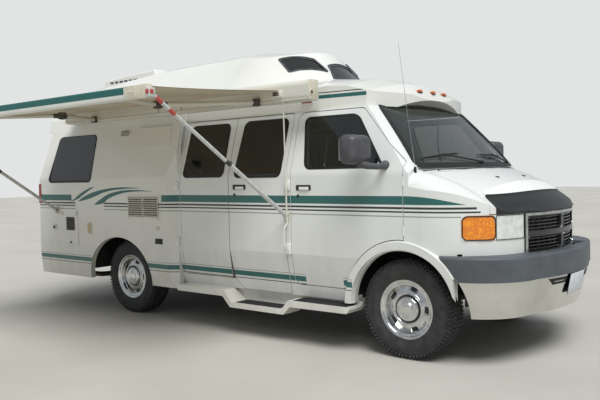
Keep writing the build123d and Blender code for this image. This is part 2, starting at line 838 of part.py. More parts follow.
for label, points, window, hinge_x in (
    ("side_door_rear", rear_leaf_outline, rear_leaf_window, side_rear_hinge_x),
    ("side_door_front", front_leaf_outline, front_leaf_window, side_front_hinge_x),
):
    with BuildPart() as leaf:
        add(cab_shell.part)
        add(side_space(points, corner=0.0), mode=Mode.INTERSECT)
        add(side_space(side_opening_outline, side_door_corner), mode=Mode.INTERSECT)
        add(side_space(window, window_corner), mode=Mode.SUBTRACT)
        for hinge_z in hinge_heights:
            add(upright(hinge_x, -body_half, hinge_z, side_barrel, hinge_length))
        if label == "side_door_front":
            add(meeting_cut(side_edge_front, (-1.0, 0.0), (0.0, 1.0), steel_lean), mode=Mode.SUBTRACT)
        else:
            add(meeting_cut(side_edge_rear, (1.0, 0.0), (0.0, 1.0), steel_lean), mode=Mode.SUBTRACT)
    with BuildPart() as leaf_glass:
        add(steel_glass_skin.part)
        add(side_space(window, window_corner), mode=Mode.INTERSECT)
    leaf.part.label = label
    leaf_glass.part.label = label.replace("door", "glass")
    finished.append(leaf.part)
    finished.append(leaf_glass.part)

# Rear doors and their glass
with BuildPart() as wide_glass_skin:
    add(wide_form(2.0))
    add(wide_form(2.0 + glass_thickness), mode=Mode.SUBTRACT)
rear_door_space = end_space(rear_door_outline, rear_x - 100.0, 400.0, door_corner)
rear_window_space = end_space(rear_door_window, rear_x - 100.0, 400.0, window_corner)
for side, turn in sides:
    with BuildPart() as rear_door:
        add(wide_shell.part)
        add(rear_door_space, mode=Mode.INTERSECT)
        add(rear_window_space, mode=Mode.SUBTRACT)
        for hinge_z in rear_hinge_heights:
            add(upright(rear_hinge_x, -rear_hinge_y, hinge_z, rear_barrel, hinge_length))
            strap_low = (rear_hinge_x - 4.0, -rear_hinge_y, hinge_z - hinge_length / 2)
            add(block(strap_low, (rear_hinge_x + 30.0, 90.0 - rear_hinge_y, hinge_z + hinge_length / 2)))
        add(meeting_cut((rear_x, -3.0, belt_z), (0.0, 1.0), (1.0, 0.0), wide_lean), mode=Mode.SUBTRACT)
    with BuildPart() as rear_glass:
        add(wide_glass_skin.part)
        add(rear_window_space, mode=Mode.INTERSECT)
    for label, piece in (("rear_door_", rear_door.part), ("rear_glass_", rear_glass.part)):
        made = turn(piece)
        made.label = label + side
        finished.append(made)

# Fixed side windows: both rear quarters and the middle of the left side
with BuildPart() as side_windows:
    for side, turn in sides:
        pane = wide_glass_skin.part & side_space(quarter_window, window_corner)
        add(turn(pane))
    for window in (rear_leaf_window, front_leaf_window):
        add(mirrored(steel_glass_skin.part & side_space(window, window_corner)))
side_windows.part.label = "side_windows"
finished.append(side_windows.part)

# Hood, and the dark stone guard along its front edge
hood_space = plan_space(hood_outline, hood_lip_z, 800.0)
hood_arm_length = 50.0
with BuildPart() as hood_hinge:
    with BuildSketch(Plane.XZ.offset(-hood_hinge_y - hood_barrel_half)):
        with Locations((hood_hinge_x, hood_hinge_z)):
            Circle(hood_barrel)
    extrude(amount=2 * hood_barrel_half)
    arm_low = (hood_hinge_x, hood_hinge_y - hood_arm_half, hood_hinge_z - hood_barrel)
    arm_high = (hood_rear_x + hood_arm_length, hood_hinge_y + hood_arm_half, hood_hinge_z + hood_barrel)
    add(block(arm_low, arm_high))
with BuildPart() as hood:
    add(nose_form(0.0))
    add(nose_form(hood_thickness), mode=Mode.SUBTRACT)
    add(hood_space, mode=Mode.INTERSECT)
    for side, turn in sides:
        add(turn(hood_hinge.part))
hood.part.label = "hood"
finished.append(hood.part)
guard_outline = [(2135.0, -720.0), (2175.0, 0.0), (2135.0, 720.0), (2280.0, 765.0), (2700.0, 765.0)]
guard_outline += [(2700.0, -765.0), (2280.0, -765.0)]
with BuildPart() as hood_guard:
    add(nose_form(-14.0))
    add(nose_form(-0.3), mode=Mode.SUBTRACT)
    add(plan_space(guard_outline, hood_lip_z, 800.0), mode=Mode.INTERSECT)
hood_guard.part.label = "hood_guard"
finished.append(hood_guard.part)

# Grille: a moulded frame with four openings, each with level slats behind
with BuildPart() as grille:
    add(nose_form(-10.0))
    add(nose_form(fender_wall), mode=Mode.SUBTRACT)
    add(end_space(grille_outline, 2200.0, 400.0), mode=Mode.INTERSECT)
    grille_middle_z = (grille_top_z + grille_bottom_z) / 2
    lower_frame = (grille_bottom_z + 28, grille_middle_z - 22)
    upper_frame = (grille_middle_z + 22, grille_top_z - 28)
    for low_z, high_z in (lower_frame, upper_frame):
        opening = [(-grille_half + 30, low_z), (-32, low_z), (-32, high_z), (-grille_half + 30, high_z)]
        for side, turn in sides:
            add(turn(end_space(opening, 2200.0, 400.0, corner=24.0)), mode=Mode.SUBTRACT)
    slat_skin = nose_form(6.0) - nose_form(fender_wall)
    for level in range(slat_count):
        slat_z = grille_bottom_z + 12.0 + slat_pitch * level
        slat_high = (2600.0, grille_half - 20.0, slat_z + slat_height)
        add(slat_skin & block((2200.0, 20.0 - grille_half, slat_z), slat_high))
grille.part.label = "grille"
finished.append(grille.part)

# Headlamps, wrapped round the front corners
lamp_body = nose_form(-3.0) - nose_form(70.0)
lamp_inner_y = grille_half + panel_gap + seat_gap
lamp_seat = side_space(lamp_side_outline, 0.0, -seat_gap, inner_y=lamp_inner_y, depth=700.0)
with BuildPart() as headlamps:
    for side, turn in sides:
        add(turn(lamp_body & lamp_seat))
headlamps.part.label = "headlamps"
finished.append(headlamps.part)


def bumper_plan(inset):
    """Plan of the front bumper, closed across the back."""
    with BuildSketch() as plan:
        with BuildLine():
            bow_x = bumper_nose_x - 105.0 - inset
            bow = ThreePointArc((bow_x, -560.0), (bumper_nose_x - inset, 0), (bow_x, 560.0))
            ThreePointArc(bow @ 1, (2340.0 - 0.7 * inset, 868.0 - 0.7 * inset), (2000.0, 1008.0 - inset))
            flank = 1008.0 - inset
            Polyline((2000.0, flank), (1900.0, flank), (1900.0, -flank), (2000.0, -flank))
            ThreePointArc((2000.0, inset - 1008.0), (2340.0 - 0.7 * inset, 0.7 * inset - 868.0), bow @ 0)
        make_face()
    return plan.sketch


# Front bumper: bright steel below, a dark moulded cover above
bumper_wall = 34.0
cover_round = 24.0
cover_inside = cover_top_z - cover_bottom_z - cover_round
with BuildPart() as bumper_cover:
    with BuildSketch(Plane.XY.offset(cover_bottom_z)):
        add(bumper_plan(0.0))
    extrude(amount=cover_top_z - cover_bottom_z)
    fillet(bumper_cover.faces().sort_by(Axis.Z)[-1].edges().sort_by(Axis.X)[1:], cover_round)
    with BuildSketch(Plane.XY.offset(cover_bottom_z)):
        add(bumper_plan(bumper_wall))
    extrude(amount=cover_inside, mode=Mode.SUBTRACT)
    add(block((1890, -946, 300), (2092, 946, 900)), mode=Mode.SUBTRACT)
    add(block((1890, -grille_half - 4, 700), (2470, grille_half + 4, 900)), mode=Mode.SUBTRACT)
    add(arch_clear, mode=Mode.SUBTRACT)
    add(nose_form(-1.0), mode=Mode.SUBTRACT)
bumper_cover.part.label = "bumper_cover"
finished.append(bumper_cover.part)
with BuildPart() as bumper_hollow:
    with BuildSketch(Plane.XY.offset(cover_bottom_z + 1.0)):
        add(bumper_plan(18.0))
    extrude(amount=chrome_bottom_z - cover_bottom_z - 10.0, taper=14.0)
with BuildPart() as front_bumper:
    with BuildSketch(Plane.XY.offset(cover_bottom_z)):
        add(bumper_plan(6.0))
    extrude(amount=chrome_bottom_z - cover_bottom_z, taper=14.0)
    add(bumper_hollow.part, mode=Mode.SUBTRACT)
    add(arch_clear, mode=Mode.SUBTRACT)
front_bumper.part.label = "front_bumper"
finished.append(front_bumper.part)

# Running boards: a low step below the side doors and another below the front door
board_profile = [
    (-745.0, 345.0),
    (-728.0, 330.0),
    (-150.0, 330.0),
    (-62.0, 240.0),
    (548.0, 240.0),
    (618.0, 310.0),
    (1180.0, 314.0),
    (1205.0, 345.0),
    (1205.0, 362.0),
    (600.0, 362.0),
    (530.0, 284.0),
    (-40.0, 284.0),
    (-140.0, sill_z),
    (-745.0, sill_z),
]
riser_profile = [(-145.0, sill_z), (-40.0, 284.0), (530.0, 284.0), (600.0, 362.0)]
riser_profile += [(1205.0, 362.0), (1205.0, sill_z)]
with BuildPart() as running_boards:
    with BuildSketch(Plane.XZ.offset(board_inner)):
        outline(board_profile)
    extrude(amount=board_half - board_inner)
    with BuildSketch(Plane.XZ.offset(board_inner)):
        outline(riser_profile)
    extrude(amount=20.0)
    with BuildSketch(Plane.XZ.offset(-board_half)):
        outline([(-745.0, 330.0), (1190.0, 330.0), (1205.0, 345.0), (1205.0, sill_z), (-745.0, sill_z)])
    extrude(amount=board_half - board_inner)
running_boards.part.label = "running_boards"
finished.append(running_boards.part)

# Rear bumper, tail lamps and hitch
with BuildPart() as rear_bumper:
    with BuildSketch(Plane.XY.offset(bumper_foot_z)):
        outline(
            [
                (rear_bumper_x, -880.0),
                (rear_bumper_x + 60.0, -1010.0),
                (rear_x - 7.0, -1040.0),
                (rear_x - 7.0, 1040.0),
                (rear_bumper_x + 60.0, 1010.0),
                (rear_bumper_x, 880.0),
            ]
        )
    extrude(amount=130.0)
    fillet(rear_bumper.edges().group_by(Axis.X)[0].filter_by(Axis.Y), 18.0)
rear_bumper.part.label = "rear_bumper"
finished.append(rear_bumper.part)
with BuildPart() as tail_lamps:
    for side, turn in sides:
        lamp = wide_form(-12.0) - wide_form(0.0)
        add(turn(lamp & block((rear_x - 100, -1100, 1117), (rear_x + 45, -905, 1333))))
tail_lamps.part.label = "tail_lamps"
finished.append(tail_lamps.part)

# Chassis: two side rails, cross members, hangers for the rear springs
rail_top_z = floor_z
rail_bottom_z = floor_z - rail_height
spring_y = 505.0
spring_half = 600.0
spring_width = 64.0
spring_pin = 14.0
with BuildPart() as chassis_frame:
    for side, turn in sides:
        rail_corner = (2290.0, rail_y + rail_width / 2, rail_top_z)
        add(turn(block((-2960.0, rail_y - rail_width / 2, rail_bottom_z), rail_corner)))
        for eye_x in (rear_axle_x - spring_half, rear_axle_x + spring_half):
            hanger_low = (eye_x - 40.0, rail_y, spring_eye_z - 45.0)
            add(turn(block(hanger_low, (eye_x + 40.0, spring_y - spring_width / 2, rail_bottom_z + 60.0))))
            add(turn(across(spring_pin, eye_x, spring_eye_z, rail_y, spring_y + spring_width / 2)))
        tip = block((2200.0, rail_y - 35.0, rail_bottom_z), (2600.0, rail_y + 35.0, rail_top_z))
        add(turn(tip & bumper_hollow.part))
    for cross_x in (-2880.0, -950.0, 120.0):
        add(block((cross_x - 35.0, -rail_y, rail_bottom_z + 50), (cross_x + 35.0, rail_y, rail_top_z - 10)))
    add(block((915.0, -rail_y - 35.0, 325.0), (985.0, rail_y + 35.0, 360.0)))
    for side, turn in sides:
        add(turn(block((915.0, rail_y - 35.0, 325.0), (985.0, rail_y + 35.0, rail_bottom_z))))
        plate_low = (rear_bumper_x + 40.0, rail_y - 30.0, rail_bottom_z + 60)
        add(turn(block(plate_low, (-2900.0, rail_y + 30.0, rail_top_z))))
        add(turn(block(plate_low, (rear_bumper_x + 70.0, rail_y + 30.0, bumper_foot_z))))
chassis_frame.part.label = "chassis_frame"
finished.append(chassis_frame.part)
with BuildPart() as hitch:
    with BuildSketch(Plane.YZ.offset(rear_bumper_x - 10.0)):
        with Locations((0, hitch_z)):
            Rectangle(hitch_outer, hitch_outer)
            Rectangle(hitch_bore, hitch_bore, mode=Mode.SUBTRACT)
    extrude(amount=230.0)
    with BuildSketch(Plane.XZ.offset(rail_y + rail_width / 2)):
        with Locations((rear_bumper_x + 220.0 + 30.0, hitch_z + 1.0)):
            Rectangle(62.0, 2 * (rail_bottom_z - hitch_z - 1.0))
    extrude(amount=-2 * rail_y - rail_width)
    with BuildSketch(Plane.XZ.offset(-60.0)):
        with Locations((hitch_pin_x, hitch_z)):
            Circle(hitch_pin_radius)
    extrude(amount=120.0, mode=Mode.SUBTRACT)
hitch.part.label = "hitch"
finished.append(hitch.part)

# Engine and gearbox as plain blocks, drive shaft, tank and exhaust
with BuildPart() as engine:
    add(block((1330.0, -235.0, rail_bottom_z), (2030.0, 235.0, 1060.0)))
    add(block((640.0, -120.0, 360.0), (1330.0, 120.0, 545.0)))
engine.part.label = "engine"
finished.append(engine.part)
with BuildPart() as drive_shaft:
    with BuildSketch(Plane.YZ.offset(640.0)):
        with Locations((0, 430.0)):
            Circle(38.0)
    with BuildSketch(Plane.YZ.offset(rear_axle_x + 150.0)):
        with Locations((0, tyre_radius)):
            Circle(38.0)
    loft(ruled=True)
drive_shaft.part.label = "drive_shaft"
finished.append(drive_shaft.part)
with BuildPart() as fuel_tank:
    with BuildSketch(Plane.XY.offset(310.0)):
        with Locations((-350.0, 225.0)):
            RectangleRounded(1000.0, 300.0, 50.0)
    extrude(amount=floor_z - 310.0)
    add(block((-1000, 0, 430), (-900, 500, 520)), mode=Mode.SUBTRACT)
    add(chassis_frame.part, mode=Mode.SUBTRACT)
fuel_tank.part.label = "fuel_tank"
finished.append(fuel_tank.part)
with BuildPart() as exhaust:
    with BuildLine() as pipe_line:
        FilletPolyline(
            (1330.0, -200.0, 455.0),
            (1180.0, -200.0, 455.0),
            (850.0, -270.0, 390.0),
            (-760.0, -270.0, 380.0),
            (-1250.0, -330.0, 500.0),
            (-2050.0, -330.0, 500.0),
            (-2350.0, -380.0, 300.0),
            (-2600.0, -600.0, 285.0),
            (-3100.0, -600.0, 285.0),
            radius=90.0,
        )
    with BuildSketch(Plane(origin=pipe_line.line @ 0, z_dir=pipe_line.line % 0)):
        Circle(28.0)
    sweep()
    with BuildSketch(Plane.YZ.offset(-500.0)):
        with Locations((-270.0, 380.0)):
            Ellipse(85.0, 60.0)
    extrude(amount=560.0)
exhaust.part.label = "exhaust"
finished.append(exhaust.part)

# Front axle: cross member under the engine and two arms a side round each kingpin
arm_gap = 8.0
with BuildPart() as front_axle:
    beam_corner = (front_axle_x + 70.0, rail_y + 35.0, rail_bottom_z)
    add(block((front_axle_x - 70.0, -rail_y - 35.0, 330.0), beam_corner))
    for side, turn in sides:
        arm_corner = (front_axle_x + 36.0, kingpin_y + 26.0, 288.0)
        add(turn(block((front_axle_x - 36.0, rail_y, 262.0), arm_corner)))
        add(turn(block((front_axle_x - 36.0, rail_y, 262.0), (front_axle_x + 36.0, rail_y + 35.0, 400.0))))
        upper_low = (front_axle_x - 30.0, rail_y + 35.0, 452.0)
        add(turn(block(upper_low, (front_axle_x + 30.0, kingpin_y + 26.0, 474.0))))
front_axle.part.label = "front_axle"
finished.append(front_axle.part)
for side, turn in sides:
    with BuildPart() as knuckle:
        with BuildSketch(Plane.XY.offset(288.0 + arm_gap)):
            with Locations((front_axle_x, -kingpin_y)):
                Circle(27.0)
        extrude(amount=452.0 - 288.0 - 2 * arm_gap)
        with BuildSketch(Plane.XY.offset(288.0 + seat_gap)):
            with Locations((front_axle_x, -kingpin_y)):
                Circle(14.0)
        extrude(amount=452.0 - 288.0 - 2 * seat_gap)
        with BuildSketch(Plane.XZ.offset(kingpin_y)):
            with Locations((front_axle_x, tyre_radius)):
                Circle(spindle_radius)
        extrude(amount=front_wheel_y - kingpin_y + 60.0)
    made = turn(knuckle.part)
    made.label = "knuckle_" + side
    finished.append(made)

# Rear axle with its leaf springs
with BuildPart() as rear_axle:
    with BuildSketch(Plane.XZ.offset(-rear_wheel_y + 70.0)):
        with Locations((rear_axle_x, tyre_radius)):
            Circle(46.0)
    extrude(amount=2 * rear_wheel_y - 140.0)
    with BuildSketch(Plane.XZ.offset(-rear_wheel_y - 60.0)):
        with Locations((rear_axle_x, tyre_radius)):
            Circle(spindle_radius)
    extrude(amount=2 * rear_wheel_y + 120.0)
    with BuildSketch(Plane.YZ.offset(rear_axle_x - 150.0)):
        with Locations((0, tyre_radius)):
            Circle(125.0)
    extrude(amount=300.0)
    for side, turn in sides:
        leaf_plan = block(
            (rear_axle_x - spring_half + spring_pin + seat_gap, spring_y - spring_width / 2, 290.0),
            (rear_axle_x + spring_half - spring_pin - seat_gap, spring_y + spring_width / 2, 330.0),
        )
        add(turn(leaf_plan))
rear_axle.part.label = "rear_axle"
finished.append(rear_axle.part)

# Tyres and wheels, drawn round an axle at the origin and then set in place
with BuildPart() as tyre_form:
    with BuildSketch(Plane.XY):
        outline(
            [
                (bead_radius, -bead_half),
                (tyre_radius - 78.0, -tyre_width / 2),
                (tyre_radius - tyre_shoulder, 12.0 - tyre_width / 2),
                (tyre_radius, tyre_shoulder - tyre_width / 2),
                (tyre_radius, tyre_width / 2 - tyre_shoulder),
                (tyre_radius - tyre_shoulder, tyre_width / 2 - 12.0),
                (tyre_radius - 78.0, tyre_width / 2),
                (bead_radius, bead_half),
            ]
        )
    revolve(axis=Axis.Y)
with BuildPart() as wheel_form:
    with BuildSketch(Plane.XY):
        outline(
            [
                (bead_radius, bead_half),
                (bead_radius + 14.0, bead_half + 4.0),
                (bead_radius + 14.0, bead_half + 10.0),
                (bead_radius - 14.0, bead_half + 4.0),
                (bead_radius - 24.0, 40.0),
                (bead_radius - 24.0, -bead_half),
                (bead_radius + 14.0, -bead_half - 10.0),
                (bead_radius + 14.0, -bead_half - 4.0),
                (bead_radius, -bead_half),
            ]
        )
        outline(
            [
                (bead_radius - 20.0, -30.0),
                (bead_radius - 20.0, -52.0),
                (150.0, -66.0),
                (112.0, -78.0),
                (92.0, -60.0),
                (62.0, -60.0),
                (58.0, -100.0),
                (0.0, -104.0),
                (0.0, -66.0),
                (spindle_radius + bearing_clearance, -66.0),
                (spindle_radius + bearing_clearance, 30.0),
                (52.0, 30.0),
                (60.0, -48.0),
                (96.0, -46.0),
                (112.0, -62.0),
                (150.0, -52.0),
            ]
        )
    revolve(axis=Axis.Y)
    with BuildSketch(Plane.XZ.offset(30.0)):
        with PolarLocations(hand_hole_circle, hand_holes):
            Rectangle(34.0, 66.0)
    extrude(amount=60.0, mode=Mode.SUBTRACT)
for end, axle_x, wheel_y in (("front", front_axle_x, front_wheel_y), ("rear", rear_axle_x, rear_wheel_y)):
    for side, turn in sides:
        for label, form in (("tyre_", tyre_form), ("wheel_", wheel_form)):
            made = turn(form.part.moved(Location((axle_x, -wheel_y, tyre_radius))))
            made.label = label + end + "_" + side
            finished.append(made)

# Awning on the right: housing, cloth, lead rail, folding arms, legs and crank
with BuildPart() as awning_housing:
    with BuildSketch(Plane.YZ.offset(awning_rear_x)) as housing_face:
        with Locations((-awning_y + awning_depth / 2, awning_bottom_z + awning_height / 2)):
            Rectangle(awning_depth, awning_height)
        fillet(housing_face.vertices().group_by(Axis.X)[0], 45.0)
    extrude(amount=awning_front_x - awning_rear_x)
    add(roof_form(0.0), mode=Mode.SUBTRACT)
awning_housing.part.label = "awning_housing"
finished.append(awning_housing.part)
cloth_z = awning_bottom_z + 95.0
with BuildPart() as awning_cloth:
    with BuildSketch(Plane.YZ.offset(lead_rear_x + 90.0)):
        outline(
            [
                (-awning_y, cloth_z),
                (lead_depth - lead_y, lead_bottom_z + 82.0),
                (lead_depth - lead_y, lead_bottom_z + 88.0),
                (-awning_y, cloth_z + 6.0),
            ]
        )
    extrude(amount=lead_front_x - lead_rear_x - 130.0)
awning_cloth.part.label = "awning_cloth"
finished.append(awning_cloth.part)
with BuildPart() as awning_lead:
    with BuildSketch(Plane.YZ.offset(lead_rear_x)) as lead_face:
        with Locations((-lead_y + lead_depth / 2, lead_bottom_z + lead_height / 2)):
            Rectangle(lead_depth, lead_height)
        fillet(lead_face.vertices().group_by(Axis.X)[0], 16.0)
    extrude(amount=lead_front_x - lead_rear_x)
awning_lead.part.label = "awning_lead"
finished.append(awning_lead.part)


def rod(start, end, radius):
    """A straight round bar between two points."""
    with BuildPart() as bar:
        with BuildLine() as centre:
            Line(start, end)
        with BuildSketch(Plane(origin=start, z_dir=centre.line % 0)):
            Circle(radius)
        sweep()
    return bar.part


# columns: shoulder x, elbow x, lead rail joint x
arm_table = ((300.0, -160.0, 230.0), (-1960.0, -1500.0, -1890.0))
arm_z = awning_bottom_z + 18.0
joint_z = lead_bottom_z + 28.0
with BuildPart() as awning_arms:
    for shoulder_x, elbow_x, joint_x in arm_table:
        shoulder = (shoulder_x, -awning_y - 12.0, arm_z)
        elbow = (elbow_x, -1740.0, (arm_z + joint_z) / 2)
        joint = (joint_x, lead_depth - lead_y + 12.0, joint_z)
        add(rod(shoulder, elbow, 20.0))
        add(rod(elbow, joint, 17.0))
        for x, y, z in (shoulder, elbow, joint):
            with BuildSketch(Plane.XY.offset(z - 26.0)):
                with Locations((x, y)):
                    Circle(30.0)
            extrude(amount=52.0)
    add(awning_housing.part, mode=Mode.SUBTRACT)
    add(awning_lead.part, mode=Mode.SUBTRACT)
awning_arms.part.label = "awning_arms"
finished.append(awning_arms.part)
leg_head_z = lead_bottom_z + 34.0
with BuildPart() as awning_legs:
    for top_x, foot_x, foot_y in (
        (lead_front_x + leg_radius, 555.0, body_half),
        (lead_rear_x - leg_radius, -2693.0, wide_half),
    ):
        foot = (foot_x, -foot_y - 26.0, 1050.0)
        head = (top_x, -lead_y + lead_depth / 2, leg_head_z)
        add(rod(head, foot, leg_radius))
        foot_low = (foot_x - leg_radius, -foot_y - 40.0, 1015.0)
        add(block(foot_low, (foot_x + leg_radius, -foot_y, 1075.0)))
        clevis_corner = (top_x + leg_radius, -lead_y + lead_depth, leg_head_z + 28.0)
        add(block((top_x - leg_radius, -lead_y, leg_head_z - 28.0), clevis_corner))
    add(awning_lead.part, mode=Mode.SUBTRACT)
awning_legs.part.label = "awning_legs"
finished.append(awning_legs.part)
with BuildPart() as awning_crank:
    crank_y = -body_half - crank_out
    shaft_top = (crank_top_x, crank_y, awning_bottom_z + 20.0)
    shaft_foot = (crank_foot_x, crank_y, crank_bend_z)
    grip_top = (crank_foot_x, crank_y - crank_throw, crank_grip_z)
    grip_foot = (crank_foot_x, crank_y - crank_throw, crank_foot_z)
    add(rod(shaft_top, shaft_foot, crank_radius))
    add(rod(shaft_foot, grip_top, crank_radius))
    add(rod(grip_top, grip_foot, crank_radius))
    add(awning_housing.part, mode=Mode.SUBTRACT)
awning_crank.part.label = "awning_crank"
finished.append(awning_crank.part)

# Hatches on the wide right side: refrigerator vents and water heater door
# columns: rear x, front x, bottom z, top z
hatch_table = (
    (-1471.0, -967.0, 968.0, 1224.0),
    (-1396.0, -897.0, 1669.0, 1872.0),
    (-2618.0, -2321.0, 664.0, 1056.0),
)
with BuildPart() as side_hatches:
    hatch_skin = wide_form(-9.0) - wide_form(0.0)
    for low_x, high_x, low_z, high_z in hatch_table:
        hatch = [(low_x, low_z), (high_x, low_z), (high_x, high_z), (low_x, high_z)]
        add(hatch_skin & side_space(hatch, corner=14.0))
side_hatches.part.label = "side_hatches"
finished.append(side_hatches.part)

# Cab: dashboard with the engine cover, two seats and the steering wheel
with BuildPart() as dashboard:
    with BuildSketch(Plane.XZ.offset(-880.0)):
        outline([
                (1400.0, 1150.0),
                (1420.0, 1340.0),
                (1560.0, 1385.0),
                (firewall_x, 1385.0),
                (firewall_x, 1040.0),
                (1460.0, 1040.0),
            ])
    extrude(amount=1760.0)
    add(block((1180.0, -300.0, floor_z + floor_thickness), (firewall_x, 300.0, 1122.0)))
    add(block((1200.0, -280.0, 400.0), (firewall_x + 10.0, 280.0, 1100.0)), mode=Mode.SUBTRACT)
    column_foot = (rim_centre[0] + 190.0, rim_centre[1], rim_centre[2] - 190.0)
    column_drop = (hub_back + seat_gap) / 2**0.5
    column_head = (rim_centre[0] + column_drop, rim_centre[1], rim_centre[2] - column_drop)
    add(rod(column_head, column_foot, 26.0))
dashboard.part.label = "dashboard"
finished.append(dashboard.part)
with BuildPart() as cushions:
    with BuildSketch(Plane.XZ.offset(-780.0)):
        outline(
            [
                (700.0, 815.0),
                (1230.0, 815.0),
                (1250.0, 945.0),
                (800.0, 935.0),
                (690.0, 1480.0),
                (670.0, 1640.0),
                (590.0, 1640.0),
                (580.0, 1450.0),
                (650.0, 840.0),
            ]
        )
    extrude(amount=480.0)
with BuildPart() as cab_seats:
    for side, turn in sides:
        add(turn(block((760.0, 330.0, floor_z + floor_thickness), (1130.0, 740.0, 815.0))))
        add(turn(cushions.part))
cab_seats.part.label = "cab_seats"
finished.append(cab_seats.part)
with BuildPart() as steering_wheel:
    with BuildSketch(Plane.XZ):
        with Locations((195.0, 0)):
            Circle(14.0)
    revolve(axis=Axis.Z)
    with BuildSketch(Plane.XY.offset(-hub_back)):
        Circle(48.0)
    extrude(amount=34.0)
    with BuildSketch(Plane.XY.offset(-14.0)):
        for angle in (0.0, 180.0, 270.0):
            with PolarLocations(0.0, 1, start_angle=angle):
                Rectangle(195.0, 34.0, align=(Align.MIN, Align.CENTER))
    extrude(amount=14.0)
made = steering_wheel.part.rotate(Axis.Y, column_tilt - 90.0).moved(Location(rim_centre))
made.label = "steering_wheel"
finished.append(made)

for piece in finished:
    export_step(piece, "parts/" + piece.label + ".step")
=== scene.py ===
import math

import bmesh
import bpy
from mathutils import Matrix, Vector


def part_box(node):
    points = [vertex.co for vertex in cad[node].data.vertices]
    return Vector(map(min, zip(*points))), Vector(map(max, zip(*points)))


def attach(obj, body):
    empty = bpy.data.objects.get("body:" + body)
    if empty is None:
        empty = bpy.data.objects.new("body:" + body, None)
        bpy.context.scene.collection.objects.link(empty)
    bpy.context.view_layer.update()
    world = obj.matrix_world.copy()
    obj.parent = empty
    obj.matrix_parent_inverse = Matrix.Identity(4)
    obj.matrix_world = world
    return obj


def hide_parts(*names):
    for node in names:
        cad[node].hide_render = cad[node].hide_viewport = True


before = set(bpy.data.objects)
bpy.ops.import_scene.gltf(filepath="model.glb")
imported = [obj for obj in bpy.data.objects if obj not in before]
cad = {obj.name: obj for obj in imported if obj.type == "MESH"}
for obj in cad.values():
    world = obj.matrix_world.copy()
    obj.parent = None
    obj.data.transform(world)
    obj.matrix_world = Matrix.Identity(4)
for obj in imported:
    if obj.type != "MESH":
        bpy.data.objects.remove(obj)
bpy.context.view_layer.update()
scene = bpy.context.scene
scene.view_settings.view_transform = "Standard"


# The look: standing at the kerb ahead of the right front corner, a little below the
# door glass, with a normal lens and the horizon slightly out of level.
def at(*spot):
    """A move from the origin to a spot."""
    return Matrix.Translation(spot)


def tilt(angle, axis):
    """A turn about an axis through the origin, in radians."""
    return Matrix.Rotation(angle, 4, axis)


lens = bpy.data.cameras.new("kerb_view")
lens.lens = 42.676
lens.sensor_width = 36.0
camera = bpy.data.objects.new("kerb_view", lens)
scene.collection.objects.link(camera)
camera.matrix_world = (at(4.30511, -5.48045, 1.40217) @ tilt(math.radians(38.9208), "Z")
                       @ tilt(math.radians(90.0 - 2.2260), "X") @ tilt(math.radians(-1.2139), "Z"))
scene.camera = camera


# Floor and light: a pale sealed floor, a wide soft sky and one large soft sun that
# stands high on the nose side, so that the awning shades the flank behind it.
def srgb(red, green, blue):
    """A colour as it is seen on screen, 0 to 255, in the linear numbers that a shader takes."""
    parts = [v / 255.0 for v in (red, green, blue)]
    return tuple(p / 12.92 if p <= 0.04045 else ((p + 0.055) / 1.055) ** 2.4 for p in parts) + (1.0,)


def add_node(tree, kind, sockets=None, **settings):
    """A shader node with its settings, and each of its sockets at a value or linked to an output."""
    node = tree.nodes.new("ShaderNode" + kind)
    for name, value in settings.items():
        setattr(node, name, value)
    for socket, value in (sockets or {}).items():
        if isinstance(value, bpy.types.NodeSocket):
            tree.links.new(value, node.inputs[socket])
        else:
            node.inputs[socket].default_value = value
    return node


def emboss(tree, height, strength, distance):
    """Raises the grain of a surface by a texture."""
    bump = add_node(tree, "Bump", {"Height": height, "Strength": strength, "Distance": distance})
    tree.links.new(bump.outputs["Normal"], tree.nodes["Principled BSDF"].inputs["Normal"])


def finish(name, light, dark, size=0.2, rough=0.5, relief=0.0, grain=0.004, streak=(1, 1, 1), **sockets):
    """A surface whose colour drifts between two screen colours over patches of a size, with a fine grain in
    relief. The darker colour may also be a share of the lighter one."""
    light = srgb(*light)
    dark = srgb(*dark) if isinstance(dark, tuple) else tuple(v * dark for v in light[:3]) + (1.0,)
    material = bpy.data.materials.new(name)
    material.use_nodes = True
    tree = material.node_tree
    shader = tree.nodes["Principled BSDF"]
    for socket, value in dict(sockets, Roughness=rough).items():
        shader.inputs[socket.replace("_", " ")].default_value = value
    place = add_node(tree, "TexCoord").outputs["Object"]
    spot = add_node(tree, "Mapping", {"Vector": place, "Scale": streak}).outputs["Vector"]
    patches = add_node(tree, "TexNoise", {"Vector": spot, "Scale": 1.0 / size, "Detail": 5.0}).outputs["Fac"]
    spread = add_node(tree, "MapRange", {"Value": patches, "From Min": 0.35, "From Max": 0.65})
    drift = add_node(tree, "Mix", {"A": dark, "B": light, "Factor": spread.outputs["Result"]}, data_type="RGBA")
    tree.links.new(drift.outputs["Result"], shader.inputs["Base Color"])
    polish = add_node(tree, "MapRange", {"Value": patches, "To Min": rough * 0.85,
                                         "To Max": min(1.0, rough * 1.2)})
    tree.links.new(polish.outputs["Result"], shader.inputs["Roughness"])
    if relief:
        fine = add_node(tree, "TexNoise", {"Vector": spot, "Scale": 1.0 / grain, "Detail": 3.0})
        emboss(tree, fine.outputs["Fac"], relief, grain * 0.25)
    return material


floor_mesh = bmesh.new()
bmesh.ops.create_grid(floor_mesh, x_segments=8, y_segments=8, size=45.0)
floor_data = bpy.data.meshes.new("floor")
floor_mesh.to_mesh(floor_data)
floor_mesh.free()
floor_data.materials.append(finish("sealed_floor", (190, 187, 178), (181, 178, 169), 1.5, 0.8, 0.2, 0.02))
floor = bpy.data.objects.new("floor", floor_data)
scene.collection.objects.link(floor)

